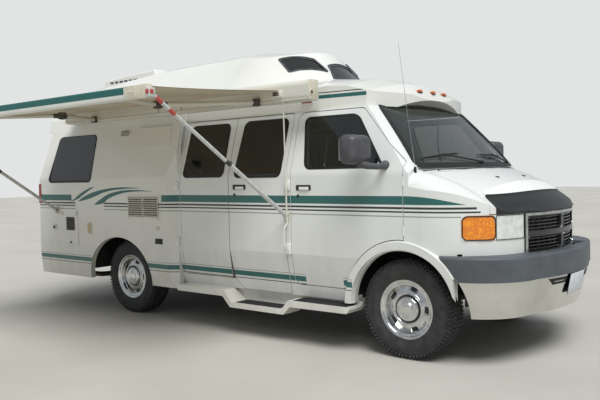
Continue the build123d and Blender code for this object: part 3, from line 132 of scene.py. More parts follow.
sky = bpy.data.worlds.new("soft_sky")
scene.world = sky
sky.use_nodes = True
sky_tree = sky.node_tree
sky_light = sky_tree.nodes["Background"]
sky_light.inputs["Color"].default_value = srgb(224, 230, 236)
sky_light.inputs["Strength"].default_value = 0.54
backdrop = add_node(sky_tree, "Background", {"Color": srgb(226, 228, 228), "Strength": 1.0})
rays = add_node(sky_tree, "LightPath")
seen = add_node(sky_tree, "Math", {0: rays.outputs["Is Camera Ray"], 1: rays.outputs["Is Transmission Ray"]},
                operation="MAXIMUM")
choose = add_node(sky_tree, "MixShader", {"Fac": seen.outputs["Value"], 1: sky_light.outputs["Background"],
                                          2: backdrop.outputs["Background"]})
sky_tree.links.new(choose.outputs["Shader"], sky_tree.nodes["World Output"].inputs["Surface"])

sun_lamp = bpy.data.lights.new("soft_sun", "SUN")
sun_lamp.energy = 2.9
sun_lamp.angle = math.radians(35.0)
sun = bpy.data.objects.new("soft_sun", sun_lamp)
sun.rotation_euler = Vector((-0.40, 0.30, -0.86)).to_track_quat("-Z", "Y").to_euler()
scene.collection.objects.link(sun)


# Steel body, hood and doors: white enamel with a clear coat. The stripes are tape laid
# along the flank: a teal band and three thin lines that run to a point on the front
# wing, two dark and the lowest soft grey, which is painted shade: a shadow edge under
# the tapes drawn as a line. There is a teal line low down, and a short pair on the roof's cheek.
class Tapes:
    """Tapes laid over a material, placed by where a point of the surface is on the van, in metres."""

    def __init__(self, material):
        self.tree = material.node_tree
        coordinates = add_node(self.tree, "TexCoord").outputs
        self.place = coordinates["Object"]
        self.x, self.y, self.z = add_node(self.tree, "SeparateXYZ", {"Vector": self.place}).outputs
        facing = add_node(self.tree, "SeparateXYZ", {"Vector": coordinates["Normal"]}).outputs["Y"]
        outward = self.above(self.all_of(facing, self.sum("SIGN", self.y)), 0.55)
        self.flank = self.all_of(outward, self.above(self.sum("ABSOLUTE", self.y), 0.80))

    def sum(self, operation, *values):
        """A sum with one or two terms."""
        return add_node(self.tree, "Math", dict(enumerate(values)), operation=operation).outputs["Value"]

    def all_of(self, first, *others):
        """The product of its terms: one where all of them are one."""
        for other in others:
            first = self.sum("MULTIPLY", first, other)
        return first

    def above(self, value, low):
        """One above a limit, nothing below it."""
        return self.sum("GREATER_THAN", value, low)

    def below(self, value, high):
        """One below a limit, nothing above it."""
        return self.sum("LESS_THAN", value, high)

    def between(self, value, low, high):
        """One inside a band, nothing outside it."""
        return self.all_of(self.above(value, low), self.below(value, high))

    def lay(self, mask, colour):
        """Lays a tape of one colour over what the material has so far."""
        base = self.tree.nodes["Principled BSDF"].inputs["Base Color"]
        over = add_node(self.tree, "Mix", {"A": base.links[0].from_socket, "B": colour, "Factor": mask},
                        data_type="RGBA")
        self.tree.links.new(over.outputs["Result"], base)

    def curve(self, start, length, low, height, points):
        """The height of a drawn curve at each place along the body, through points in X and Z."""
        along = add_node(self.tree, "MapRange", {"Value": self.x, "From Min": start,
                                                 "From Max": start + length})
        drawn = add_node(self.tree, "FloatCurve", {"Value": along.outputs["Result"]})
        line = drawn.mapping.curves[0]
        spots = [((x - start) / length, (z - low) / height) for x, z in points]
        line.points[0].location = spots[0]
        line.points[1].location = spots[-1]
        for spot in spots[1:-1]:
            line.points.new(*spot)
        drawn.mapping.update()
        back = add_node(self.tree, "MapRange", {"Value": drawn.outputs["Value"], "To Min": low,
                                                "To Max": low + height}, clamp=False)
        return back.outputs["Result"]

    def road_film(self, reach, amount):
        """Road dust on the lower flank, thinning out upwards and broken up in streaks."""
        spot = add_node(self.tree, "Mapping", {"Vector": self.place, "Scale": (9.0, 9.0, 2.5)})
        specks = add_node(self.tree, "TexNoise", {"Vector": spot.outputs["Vector"], "Scale": 1.0,
                                                  "Detail": 8.0})
        fade = add_node(self.tree, "MapRange", {"Value": self.z, "From Min": reach, "From Max": 0.30,
                                                "To Max": amount})
        self.lay(self.all_of(fade.outputs["Result"], specks.outputs["Fac"]), srgb(150, 138, 116))


teal = srgb(30, 98, 94)
line_black = srgb(38, 44, 44)
line_grey = srgb(150, 156, 150)
# The lowest of the thin lines, in soft grey, is painted shade: a shadow edge below the tapes, drawn as a line.
thin_lines = ((1.118, 1.134, 2.155, line_black), (1.092, 1.104, 2.175, line_black), (1.060, 1.069, 2.10, line_grey))
low_lines = ((0.509, 0.553, teal), (0.484, 0.491, line_black), (0.566, 0.572, line_grey))
roof_lines = ((1.996, 2.026, teal), (2.040, 2.048, line_black))
band_gap, line_gap = (-2.43, -0.955), (-2.36, -1.86)
lettering_start, lettering_end, low_end = 0.706, 1.080, 1.20
band_taper = [(1.55, 1.214), (1.72, 1.212), (1.85, 1.201), (1.98, 1.178), (2.10, 1.1505), (2.15, 1.140)]
swooshes = (
    ([(-2.46, 1.135), (-2.364, 1.176), (-2.274, 1.222), (-2.168, 1.262), (-2.03, 1.296), (-2.00, 1.297)],
     [(-2.46, 1.135), (-2.33, 1.163), (-2.24, 1.200), (-2.15, 1.240), (-2.03, 1.288), (-2.00, 1.297)]),
    ([(-2.32, 1.140), (-2.153, 1.209), (-1.949, 1.256), (-1.705, 1.284), (-1.518, 1.290), (-1.264, 1.281)],
     [(-2.32, 1.140), (-2.17, 1.160), (-2.04, 1.188), (-1.772, 1.252), (-1.518, 1.273), (-1.264, 1.280)]),
    ([(-2.03, 1.108), (-1.904, 1.172), (-1.772, 1.222), (-1.628, 1.249), (-1.458, 1.263), (-1.078, 1.250)],
     [(-2.03, 1.108), (-1.90, 1.120), (-1.772, 1.176), (-1.645, 1.211), (-1.458, 1.241), (-1.078, 1.248)]),
)


def striped(name, light, dark, roughness):
    """White enamel with the van's stripes, for every panel that the stripes run across."""
    material = finish(name, light, dark, 0.9, roughness, 0.06, 0.02, Coat_Weight=0.5, Coat_Roughness=0.06)
    tapes = Tapes(material)
    x, z = tapes.x, tapes.z
    tapes.road_film(reach=1.15, amount=0.5)
    band = tapes.all_of(tapes.above(z, 1.150), tapes.below(z, tapes.curve(1.55, 0.60, 1.13, 0.10, band_taper)))
    open_run = tapes.sum("SUBTRACT", 1.0, tapes.between(x, *band_gap))
    tapes.lay(tapes.all_of(band, open_run, tapes.flank), teal)
    line_run = tapes.sum("MAXIMUM", tapes.above(x, line_gap[1]), tapes.below(x, line_gap[0]))
    for low, high, end, colour in thin_lines:
        tapes.lay(tapes.all_of(tapes.between(z, low, high), tapes.below(x, end), line_run, tapes.flank), colour)
    low_run = tapes.sum("MAXIMUM", tapes.below(x, lettering_start), tapes.between(x, lettering_end, low_end))
    for low, high, colour in low_lines:
        tapes.lay(tapes.all_of(tapes.between(z, low, high), low_run, tapes.flank), colour)
    for upper, lower in swooshes:
        top, foot = (tapes.curve(-2.5, 1.6, 1.08, 0.24, points) for points in (upper, lower))
        blade = tapes.all_of(tapes.below(z, top), tapes.above(z, foot))
        length = tapes.between(x, lower[0][0], lower[-1][0])
        tapes.lay(tapes.all_of(blade, length, tapes.flank), teal)
    for low, high, colour in roof_lines:
        tapes.lay(tapes.all_of(tapes.between(z, low, high), tapes.between(x, 0.70, 1.27), tapes.flank), colour)
    return material


def dress(material, *names):
    """Gives CAD nodes their finish in place of the plain one."""
    for name in names:
        for held in cad[name].material_slots:
            held.material = material


enamel = striped("white_enamel", (233, 235, 232), (227, 229, 225), 0.28)
dress(enamel, "body_shell", "front_door_right", "front_door_left", "side_door_front", "side_door_rear", "hood")

# Rear body and raised roof: glass-fibre mouldings in white gel coat, a shade warmer and
# flatter than the steel. The same tapes run over them, with the swoosh behind the doors.
gel_coat = striped("white_gel_coat", (234, 234, 228), (226, 226, 218), 0.36)
dress(gel_coat, "rear_body", "raised_roof", "rear_door_right", "rear_door_left", "running_boards",
      "side_hatches", "roof_aircon")


# Glass: dark privacy glass along the sides, behind and in the roof, and a clear, faintly
# green windscreen. Each pane sits a few millimetres under the skin in a rubber seal.
def pane(name, tint, see_through):
    """Glass whose body colour shows over a share of what is behind it."""
    return finish(name, tint, 0.7, 0.8, 0.03, Coat_Weight=1.0, Coat_Roughness=0.02, Alpha=1.0 - see_through)


dress(pane("privacy_glass", (20, 22, 22), 0.12), "side_glass_front", "side_glass_rear", "side_windows",
      "rear_glass_right", "rear_glass_left", "skylight")
dress(pane("cab_door_glass", (30, 34, 34), 0.42), "front_glass_right", "front_glass_left")
dress(pane("windscreen_glass", (52, 66, 60), 0.62), "windscreen")


# Window seals: extruded black rubber round every pane, a little proud of the skin, with
# the corners as round as the glass. The front doors carry a bright divider strip too, and
# the quarter windows a rail between their panes.
rubber = finish("seal_rubber", (24, 25, 26), (15, 16, 17), 0.05, 0.5, 0.3, 0.002)
bright_strip = finish("bright_strip", (196, 200, 202), (170, 174, 176), 0.1, 0.25, Metallic=1.0)
sides = ((-1, "right"), (1, "left"))
belt = 1.388
steel_half, steel_lean = 1.000, 0.30077
wide_half, wide_lean = 1.061, 0.2471
tail_x = -3.060


def steel_skin(z):
    """Half width of the steel body at a height: upright to the belt, then leaning in."""
    return steel_half - steel_lean * max(0.0, z - belt)


def wide_skin(z):
    """Half width of the moulded rear body at a height."""
    return wide_half - wide_lean * max(0.0, z - belt)


def made(name, shape, body, slot, *finishes):
    """Turns a shape into a piece of the van that rides on a body and has smooth, round edges."""
    mesh = bpy.data.meshes.new(name)
    shape.to_mesh(mesh)
    shape.free()
    for skin in finishes:
        mesh.materials.append(skin)
    mesh.polygons.foreach_set("use_smooth", [True] * len(mesh.polygons))
    mesh.set_sharp_from_angle(angle=math.radians(32.0))
    piece = bpy.data.objects.new(name, mesh)
    scene.collection.objects.link(piece)
    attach(piece, body)
    return piece


def moved(shape, place, paint=None):
    """The shape at a place, which is a point or a matrix, and turned right way out if that mirrors it."""
    if not isinstance(place, Matrix):
        place = at(*place)
    if paint is not None:
        for face in shape.faces:
            face.material_index = paint
    bmesh.ops.transform(shape, matrix=place, verts=shape.verts)
    if place.determinant() < 0:
        bmesh.ops.reverse_faces(shape, faces=shape.faces)
    return shape


def join(whole, part, place=(0, 0, 0), paint=0):
    """Sets a small shape into a larger one at its place. Without a paint it keeps its own."""
    held = bpy.data.meshes.new("held")
    moved(part, place, paint).to_mesh(held)
    part.free()
    whole.from_mesh(held)
    bpy.data.meshes.remove(held)


def outwards(shape):
    """The shape with all its faces turned outwards."""
    bmesh.ops.recalc_face_normals(shape, faces=shape.faces)
    return shape


def thickened(shape, thick):
    """A sheet given a thickness."""
    bmesh.ops.solidify(shape, geom=shape.faces[:], thickness=thick)
    return outwards(shape)


def grid(x_segments, y_segments):
    """A flat sheet one metre square about the origin."""
    sheet = bmesh.new()
    bmesh.ops.create_grid(sheet, x_segments=x_segments, y_segments=y_segments, size=0.5)
    return sheet


def outline(corners, radius, steps, inset):
    """A flat face with round corners, and the middle that is left inside a strip along its edge."""
    flat = bmesh.new()
    flat.faces.new([flat.verts.new(corner) for corner in corners])
    bmesh.ops.bevel(flat, geom=flat.verts[:], offset=radius, offset_type="OFFSET", segments=steps,
                    profile=0.5, affect="VERTICES", material=-1)
    middle = flat.faces[:]
    bmesh.ops.inset_region(flat, faces=middle, thickness=inset, use_even_offset=True, use_boundary=True)
    return flat, middle


def frame_ring(corners, radius, wide, thick, steps=6):
    """A flat ring with round corners in X and Z, wide inwards from its outline and thick along Y."""
    ring, middle = outline([(x, 0.0, z) for x, z in corners], radius, steps, wide)
    bmesh.ops.delete(ring, geom=middle, context="FACES_ONLY")
    thickened(outwards(ring), thick)
    return moved(ring, (0.0, -min(v.co.y for v in ring.verts), 0.0))


def rectangle(low_x, high_x, low_z, high_z):
    """The four corners of an upright opening."""
    return [(low_x, low_z), (high_x, low_z), (high_x, high_z), (low_x, high_z)]


def on_flank(shape, skin, lift, side):
    """Bends a flat shape onto one flank: its Y is how far it stands off the skin."""
    for vert in shape.verts:
        vert.co.y = skin(vert.co.z) + lift + vert.co.y
    return moved(shape, hand(side), 0)


def hand(side):
    """Mirrors what was made for the left flank when the side is the right one."""
    return Matrix.Diagonal((1.0, side, 1.0, 1.0))


def grown(corners, reach):
    """The same outline with each corner moved out."""
    middle = [sum(values) / len(corners) for values in zip(*corners)]
    return [tuple(v + math.copysign(reach, v - m) for v, m in zip(corner, middle)) for corner in corners]


front_window = [(0.732, 1.430), (1.480, 1.430), (1.173, 1.848), (0.656, 1.848)]
rear_leaf_window = [(-0.712, 1.378), (-0.187, 1.378), (-0.201, 1.850), (-0.701, 1.850)]
front_leaf_window = [(-0.051, 1.370), (0.478, 1.370), (0.478, 1.855), (-0.016, 1.855)]
quarter_window = [(-2.862, 1.350), (-2.072, 1.350), (-2.089, 1.842), (-2.761, 1.842)]
for name, corners, skin, side, body in (
    ("seal_front_door_right", front_window, steel_skin, -1, "front_door_right"),
    ("seal_front_door_left", front_window, steel_skin, 1, "front_door_left"),
    ("seal_side_leaf_rear", rear_leaf_window, steel_skin, -1, "side_door_rear"),
    ("seal_side_leaf_front", front_leaf_window, steel_skin, -1, "side_door_front"),
    ("seal_quarter_right", quarter_window, wide_skin, -1, "root"),
    ("seal_quarter_left", quarter_window, wide_skin, 1, "root"),
    ("seal_left_rear", rear_leaf_window, steel_skin, 1, "root"),
    ("seal_left_front", front_leaf_window, steel_skin, 1, "root"),
):
    ring = frame_ring(grown(corners, 0.007), 0.058, 0.020, 0.010)
    made(name, on_flank(ring, skin, -0.0075, side), body, "rubber_tyre", rubber)

for side, name in sides:
    strip = moved(grid(1, 10), tilt(math.radians(90.0), "X"))
    for vert in strip.verts:
        t = vert.co.z + 0.5
        vert.co.x = 0.925 + 0.026 * t - 0.018 * math.sin(math.pi * t) + 0.012 * vert.co.x
        vert.co.z = 1.446 + 0.388 * t
    made("window_divider_" + name, on_flank(thickened(strip, 0.004), steel_skin, -0.0035, side),
         "front_door_" + name, "bright_chrome", bright_strip)
for side, name in sides:
    rail = frame_ring([(-2.835, 1.560), (-2.079, 1.560), (-2.080, 1.592), (-2.828, 1.592)],
                      0.002, 0.0155, 0.006, 1)
    made("slider_rail_" + name, on_flank(rail, wide_skin, -0.0055, side), "root", "rubber_tyre", rubber)


# Windscreen seal and cowl: a thick rubber band bonds the screen into its frame, and a
# grained black cowl fills the space behind the hood, with two wipers lying along it.
off_screen = Vector((0.69, 0.0, 0.72))
screen_foot_x, screen_foot_z, screen_rake, screen_tall = 1.873, 1.405, 0.586, 0.559
foot_radius, radius_growth = 2.425, 1.866


def on_screen(y, z, lift=0.0):
    """A point off the windscreen, which is an arc in plan that grows flatter towards its head."""
    t = (z - screen_foot_z) / screen_tall
    radius = foot_radius + radius_growth * t
    spot = Vector((screen_foot_x - screen_rake * t - (radius - math.sqrt(radius * radius - y * y)), y, z))
    return spot + off_screen * lift


screen_seal = frame_ring([(-0.893, 1.420), (0.893, 1.420), (0.720, 1.942), (-0.720, 1.942)],
                         0.062, 0.032, 0.008, 8)
bmesh.ops.subdivide_edges(screen_seal, edges=[e for e in screen_seal.edges if e.calc_length() > 0.3],
                          cuts=24, use_grid_fill=True)
for vert in screen_seal.verts:
    vert.co = on_screen(vert.co.x, vert.co.z, vert.co.y - 0.004)
made("windscreen_seal", outwards(screen_seal), "root", "rubber_tyre", rubber)

down = (0, 0, -1)


def skin_under(node, x, y, z, direction):
    """The nearest point of a CAD node's surface in a direction, or nothing."""
    found, spot, _, _ = cad[node].ray_cast(Vector((x, y, z)), Vector(direction))
    return spot if found else None


cowl = grid(4, 48)
cowl_wide, bend_y = 1.68, 0.42
for vert in cowl.verts:
    t, y = vert.co.x + 0.5, vert.co.y * cowl_wide
    rear = on_screen(y, 1.418).x + 0.004
    hood_edge = 1.890 - 0.0815 * abs(y) - 0.210 * max(0.0, abs(y) - bend_y)
    front = max(rear + 0.012, min(hood_edge, 1.892 - 0.030 / bend_y * abs(y)))
    x = rear + (front - rear) * t
    landed = skin_under("body_shell", x, y, 1.8, down)
    vert.co = (x, y, (landed.z if landed else 1.39) + 0.0025 + 0.003 * math.sin(math.pi * t))
cowl_black = finish("cowl_black", (66, 67, 68), (44, 45, 47), 0.03, 0.62, 0.5, 0.003)
made("cowl_panel", thickened(cowl, 0.003), "root", "black_plastic", cowl_black)


def rod(start, end, thick, thin=None, segments=12):
    """A round bar between two points, tapering if thin is given."""
    start, end = Vector(start), Vector(end)
    run = end - start
    shape = bmesh.new()
    bmesh.ops.create_cone(shape, cap_ends=True, cap_tris=False, segments=segments, radius1=thick,
                          radius2=thick if thin is None else thin, depth=run.length)
    return moved(shape, at(*(start + end) / 2) @ run.to_track_quat("Z", "Y").to_matrix().to_4x4())


def stud(length, thick, thin=None, segments=12):
    """A round bar that stands out along Y from the origin."""
    return rod((0, 0, 0), (0, length, 0), thick, thin, segments)


def block(size, rounding, segments=2):
    """A box about its own middle with its edges rolled over."""
    shape = bmesh.new()
    bmesh.ops.create_cube(shape, size=1.0, matrix=Matrix.Diagonal((*size, 1.0)))
    bmesh.ops.bevel(shape, geom=shape.edges[:], offset=rounding, offset_type="OFFSET", segments=segments,
                    profile=0.5, affect="EDGES", material=-1, clamp_overlap=True)
    return shape


def blocks(whole, place, *rows):
    """Joins boxes about one place, each from a row of size, rounding, segments, offset and paint."""
    for size, rounding, segments, offset, paint in rows:
        join(whole, block(size, rounding, segments), place @ at(*offset), paint)


def beading(spots, thick, segments=8):
    """A thin round bead laid through a row of points."""
    bead = bmesh.new()
    for first, last in zip(spots, spots[1:]):
        if (last - first).length > 0.0005:
            join(bead, rod(first, last, thick, None, segments))
    return bead


wiper_black = finish("wiper_black", (26, 26, 27), (16, 16, 17), 0.02, 0.42, 0.1, 0.002)
for number, pivot_y, inner_end, outer_end in ((1, -0.06, (-0.30, 1.520), (-0.80, 1.478)),
                                              (2, 0.60, (0.50, 1.500), (-0.02, 1.508))):
    blade = [[a + (b - a) * step / 10 for a, b in zip(inner_end, outer_end)] for step in range(11)]
    half_way = [(a + b) / 2 for a, b in zip(inner_end, outer_end)]
    pivot, middle = on_screen(pivot_y, 1.448, 0.002), on_screen(*half_way, 0.024)
    ends = on_screen(*inner_end, 0.014), on_screen(*outer_end, 0.014)
    wiper = bmesh.new()
    join(wiper, rod(pivot - off_screen * 0.012, pivot + off_screen * 0.016, 0.016, 0.012, 20))
    join(wiper, rod(pivot + off_screen * 0.012, middle + off_screen * 0.004, 0.008, 0.005))
    for end in ends:
        join(wiper, rod(middle, middle.lerp(end, 0.55), 0.005, 0.003))
    for end in ends:
        last = middle.lerp(end, 0.55)
        join(wiper, rod(last, end.lerp(last, 0.4) + off_screen * 0.002, 0.004, 0.003))
    join(wiper, beading([on_screen(y, z, 0.009) for y, z in blade], 0.0042))
    made("wiper_%d" % number, wiper, "root", "black_plastic", wiper_black)

# Antenna: a steel whip on a black rubber foot at the back of the right front wing.
antenna = bmesh.new()
foot = skin_under("body_shell", 1.700, -0.905, 1.8, down)
socket, bend, tip = (foot + Vector(way) for way in
                     ((0, -0.004, 0.038), (-0.058, -0.012, 0.46), (-0.118, -0.020, 0.96)))
join(antenna, rod(foot - Vector((0, 0, 0.035)), socket, 0.013, 0.008, 20))
join(antenna, rod(socket, bend, 0.0021, 0.0017, 10), paint=1)
join(antenna, rod(bend, tip, 0.0017, 0.0010, 10), paint=1)
made("antenna", antenna, "root", "bright_chrome", wiper_black, bright_strip)


# Door furniture: black recessed cups with a white paddle, round key locks below them,
# and white caps over the outside hinges of the side doors.
white_cap = finish("white_cap", (238, 238, 234), (228, 228, 222), 0.05, 0.35, 0.05, 0.004)
cup_black = finish("handle_cup", (40, 42, 42), (26, 27, 27), 0.02, 0.45, 0.1, 0.002)


def fitting_at(side, x, z, skin, lift=0.0):
    """Where a fitting sits on one flank, leaning as the skin leans there."""
    slope = math.atan((skin(z) - skin(z + 0.01)) / 0.01)
    return hand(side) @ at(x, skin(z) + lift, z) @ tilt(slope, "X")


def door_handle(side, x, z):
    """A pull handle: a shallow black cup, a paddle hinged at its top edge, and a lock."""
    handle = bmesh.new()
    join(handle, block((0.150, 0.012, 0.044), 0.0055, 3), (0, 0.0015, 0))
    paddle = block((0.098, 0.012, 0.026), 0.005, 3)
    for vert in paddle.verts:
        if vert.co.z < 0 and abs(vert.co.x) < 0.035:
            vert.co.z -= 0.006
    join(handle, paddle, (0.008, 0.008, -0.007), 1)
    join(handle, stud(0.0055, 0.0125, 0.011, 20), (-0.058, 0, -0.066))
    return moved(handle, fitting_at(side, x, z, steel_skin))


for name, side, x, z, body in (("handle_front_right", -1, 0.725, 1.278, "front_door_right"),
                               ("handle_front_left", 1, 0.725, 1.278, "front_door_left"),
                               ("handle_side_door", -1, 0.010, 1.284, "side_door_front")):
    made(name, door_handle(side, x, z), body, "black_plastic", cup_black, white_cap)

for name, x in (("hinge_caps_front", 0.560), ("hinge_caps_rear", -0.800)):
    caps = bmesh.new()
    for z in (1.300, 0.775):
        join(caps, block((0.058, 0.020, 0.086), 0.006, 3), fitting_at(-1, x, z, steel_skin, 0.009))
        join(caps, block((0.020, 0.006, 0.030), 0.0025), fitting_at(-1, x + 0.006, z, steel_skin, 0.0205))
    made(name, caps, "root", "moulded_white", white_cap)


# Mirrors: a deep grey moulded head with round corners on a swept arm, glass at its back.
mirror_grey = finish("mirror_grey", (84, 84, 88), (66, 66, 70), 0.08, 0.42, 0.25, 0.003)
mirror_glass = finish("mirror_glass", (206, 212, 214), (196, 202, 206), 0.4, 0.02, Metallic=1.0)
mirror_arm = [((1.392, 1.195, 1.462), 0.034), ((1.440, 1.150, 1.440), 0.026), ((1.484, 1.085, 1.432), 0.022),
              ((1.496, 1.010, 1.438), 0.027), ((1.492, 0.985, 1.442), 0.036)]
for side, name in sides:
    head = block((0.150, 0.258, 0.215), 0.052, 6)
    for vert in head.verts:
        if vert.co.x > 0.0:
            vert.co.y *= 1.0 - 1.2 * vert.co.x
            vert.co.z *= 1.0 - vert.co.x
    mirror = bmesh.new()
    join(mirror, head, hand(side) @ at(1.375, 1.200, 1.560))
    join(mirror, block((0.006, 0.200, 0.158), 0.0028), hand(side) @ at(1.2995, 1.200, 1.560), 1)
    for (start, thick), (end, thin) in zip(mirror_arm, mirror_arm[1:]):
        join(mirror, rod(start, end, thick, thin, 24), hand(side))
        ball = bmesh.new()
        bmesh.ops.create_uvsphere(ball, u_segments=20, v_segments=12, radius=thin)
        join(mirror, ball, hand(side) @ at(*end))
    bmesh.ops.remove_doubles(mirror, verts=mirror.verts, dist=1e-6)
    piece = made("mirror_head_" + name, mirror, "front_door_" + name, "black_plastic",
                 mirror_grey, mirror_glass)
    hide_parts("mirror_" + name)


# Hood guard: a black vinyl cover drawn tight over the front of the hood, with a hem sewn
# round a cord along its bowed rear edge and a line of stitching ahead of it. Behind the
# hem its solid is painted as the hood is.
guard_edge_x, guard_bow = 2.300, 0.27
bare_guard = finish("guard_vinyl_edged", (37, 39, 40), (25, 26, 27), 0.16, 0.38, 0.12, 0.006,
                    (1.0, 0.3, 2.4))
tapes = Tapes(bare_guard)
bowed = tapes.sum("ADD", tapes.x, tapes.all_of(tapes.y, tapes.y, guard_bow))
tapes.lay(tapes.below(bowed, guard_edge_x), srgb(233, 235, 232))
dress(bare_guard, "hood_guard")
vinyl = finish("guard_vinyl", (37, 39, 40), (25, 26, 27), 0.16, 0.42, 0.35, 0.004, (1.0, 0.3, 2.4),
               Coat_Weight=0.15, Coat_Roughness=0.4)
hem = bmesh.new()
hem_spots = [skin_under("hood_guard", guard_edge_x - guard_bow * y * y, y, 1.8, down)
             for y in (-0.720 + 1.44 * step / 40 for step in range(41))]
hem_spots = [spot for spot in hem_spots if spot]
stitch_line = Vector((0.016, 0, -0.006))
for first, last in zip(hem_spots, hem_spots[1:]):
    join(hem, rod(first, last, 0.0042, None, 10))
    join(hem, rod(first + stitch_line, first.lerp(last, 0.55) + stitch_line, 0.0013, None, 6))
made("guard_hem", hem, "hood", "black_plastic", vinyl)

# Washer jets: two small black nozzles pushed through the hood ahead of the cowl.
for number, y in ((1, -0.263), (2, 0.263)):
    spot = skin_under("hood", 2.050, y, 1.8, down)
    jet = block((0.030, 0.018, 0.012), 0.004, 3)
    for vert in jet.verts:
        if vert.co.z > 0 and vert.co.x > 0:
            vert.co.z -= 0.004
    nozzle = bmesh.new()
    join(nozzle, jet, spot + Vector((0, 0, 0.003)))
    join(nozzle, rod(spot + Vector((-0.015, 0, 0.005)), spot + Vector((-0.021, 0, 0.007)), 0.003, 0.002, 10))
    made("washer_jet_%d" % number, nozzle, "hood", "black_plastic", wiper_black)


# Grille: black moulded frame and slats inside a pale outer band, with a fine bright line
# round each of the four openings. Everything is laid on the bowed face of the nose.
grille_black = finish("grille_black", (40, 42, 45), (26, 28, 31), 0.05, 0.32, 0.15, 0.002, Coat_Weight=0.3)
dress(grille_black, "grille")
band_grey = finish("grille_band", (196, 197, 192), (160, 162, 158), 0.08, 0.25, 0.1, 0.002, Metallic=0.6)


def on_face(shape, node):
    """Lays a flat shape on the front of a CAD node: its X runs across the nose, its Y stands off the face."""
    for vert in shape.verts:
        y, lift, z = vert.co.x, vert.co.y, vert.co.z
        spot = skin_under(node, 3.0, y, z, (-1, 0, 0))
        vert.co = ((spot.x if spot else 2.35) + lift, y, z)
    return shape


def long_cuts(shape, length=0.03):
    """Divides long edges, so that a shape can follow a bowed face."""
    for _ in range(6):
        long_ones = [e for e in shape.edges if e.calc_length() > length]
        if not long_ones:
            break
        bmesh.ops.subdivide_edges(shape, edges=long_ones, cuts=1)
    return shape


band = on_face(long_cuts(frame_ring(rectangle(-0.498, 0.498, 0.7705, 1.072), 0.010, 0.017, 0.004, 3)), "grille")
made("grille_band", band, "root", "bumper_grey", band_grey)
lines = bmesh.new()
for side, _ in sides:
    for low_z, high_z in ((0.798, 0.900), (0.944, 1.046)):
        corners = grown(rectangle(*sorted((0.032 * side, 0.470 * side)), low_z, high_z), 0.007)
        join(lines, on_face(long_cuts(frame_ring(corners, 0.030, 0.0085, 0.004, 6)), "grille"))
made("grille_lines", lines, "root", "bright_chrome", bright_strip)
ribs = bmesh.new()
for side, _ in sides:
    for part in range(1, 6):
        y = side * (0.032 + 0.438 * part / 6)
        for low_z, high_z in ((0.800, 0.898), (0.946, 1.044)):
            middle_z = (low_z + high_z) / 2
            face_x = skin_under("grille", 3.0, side * 0.015, middle_z, (-1, 0, 0)).x
            join(ribs, block((0.012, 0.004, high_z - low_z), 0.0015, 1),
                 (face_x - 0.385 * y * y - 0.034, y, middle_z))
made("grille_ribs", ribs, "root", "bumper_grey", grille_black)


# Headlamps: moulded lenses that wrap round the corners, amber behind and clear ahead, set
# in a black rubber gasket. The lens is fluted upright inside and glossy outside.
def lamp_finish():
    """Amber at the flank with painted glints on its facets, clear at the front, and enamel at the two rounded rear
    corners.
    """
    material = finish("headlamp_lens", (232, 234, 230), (206, 210, 208), 0.05, 0.14,
                      Coat_Weight=1.0, Coat_Roughness=0.03)
    tree = material.node_tree
    tapes = Tapes(material)
    x, z = tapes.x, tapes.z
    # Painted glints: the amber turns lighter towards the edges of small facet cells, standing in for light
    # sparkling in the lens.
    facets = add_node(tree, "TexVoronoi", {"Vector": tapes.place, "Scale": 62.0}).outputs["Distance"]
    bright = add_node(tree, "MapRange", {"Value": facets, "From Min": 0.45, "From Max": 0.75}).outputs["Result"]
    amber_with_glints = add_node(tree, "Mix", {"A": srgb(226, 122, 2), "B": srgb(250, 156, 6), "Factor": bright},
                    data_type="RGBA")
    amber_x, bow_z, corner_x, corner_z, straight_half, corner_radius = 2.252, 0.960, 2.112, 0.987, 0.042, 0.046
    bow = tapes.all_of(tapes.sum("ABSOLUTE", tapes.sum("SUBTRACT", z, bow_z)), 0.11)
    tapes.lay(tapes.below(tapes.sum("ADD", x, bow), amber_x), amber_with_glints.outputs["Result"])
    past_x = tapes.sum("MAXIMUM", tapes.sum("SUBTRACT", corner_x, x), 0.0)
    off_z = tapes.sum("ABSOLUTE", tapes.sum("SUBTRACT", z, corner_z))
    past_z = tapes.sum("MAXIMUM", tapes.sum("SUBTRACT", off_z, straight_half), 0.0)
    far = tapes.sum("SQRT", tapes.sum("ADD", tapes.all_of(past_x, past_x), tapes.all_of(past_z, past_z)))
    both = tapes.all_of(tapes.above(past_x, 0.001), tapes.above(past_z, 0.001))
    tapes.lay(tapes.all_of(both, tapes.above(far, corner_radius)), srgb(232, 234, 231))
    flutes = add_node(tree, "TexWave", {"Vector": tapes.place, "Scale": 28.0})
    emboss(tree, flutes.outputs["Fac"], 0.25, 0.002)
    return material


dress(lamp_finish(), "headlamps")


def corner_circle(a, b, c):
    """Centre and radius of the arc in plan that runs through three points."""
    (ax, ay), (bx, by), (cx, cy) = a, b, c
    d = 2.0 * (ax * (by - cy) + bx * (cy - ay) + cx * (ay - by))
    aa, bb, cc = ax * ax + ay * ay, bx * bx + by * by, cx * cx + cy * cy
    ux = (aa * (by - cy) + bb * (cy - ay) + cc * (ay - by)) / d
    uy = (aa * (cx - bx) + bb * (ax - cx) + cc * (bx - ax)) / d
    return Vector((ux, uy, 0.0)), math.hypot(ax - ux, ay - uy)


corner_middle, corner_reach = corner_circle((2.350, 0.500), (2.165, 0.852), (1.800, 1.000))


def on_corner(shape, node, side):
    """Lays a flat ring round the front corner: its X is the angle in metres along the corner's arc."""
    for vert in shape.verts:
        turn, lift, z = vert.co.x / corner_reach, vert.co.y, vert.co.z
        out = Vector((math.cos(turn), math.sin(turn), 0.0))
        start = corner_middle + out * (corner_reach + 0.4) + Vector((0, 0, z))
        spot = skin_under(node, start.x, -start.y, start.z, (-out.x, out.y, 0.0))
        spot = Vector((spot.x, -spot.y, spot.z)) if spot else start - out * 0.4
        vert.co = spot + out * lift
    return moved(shape, hand(side))


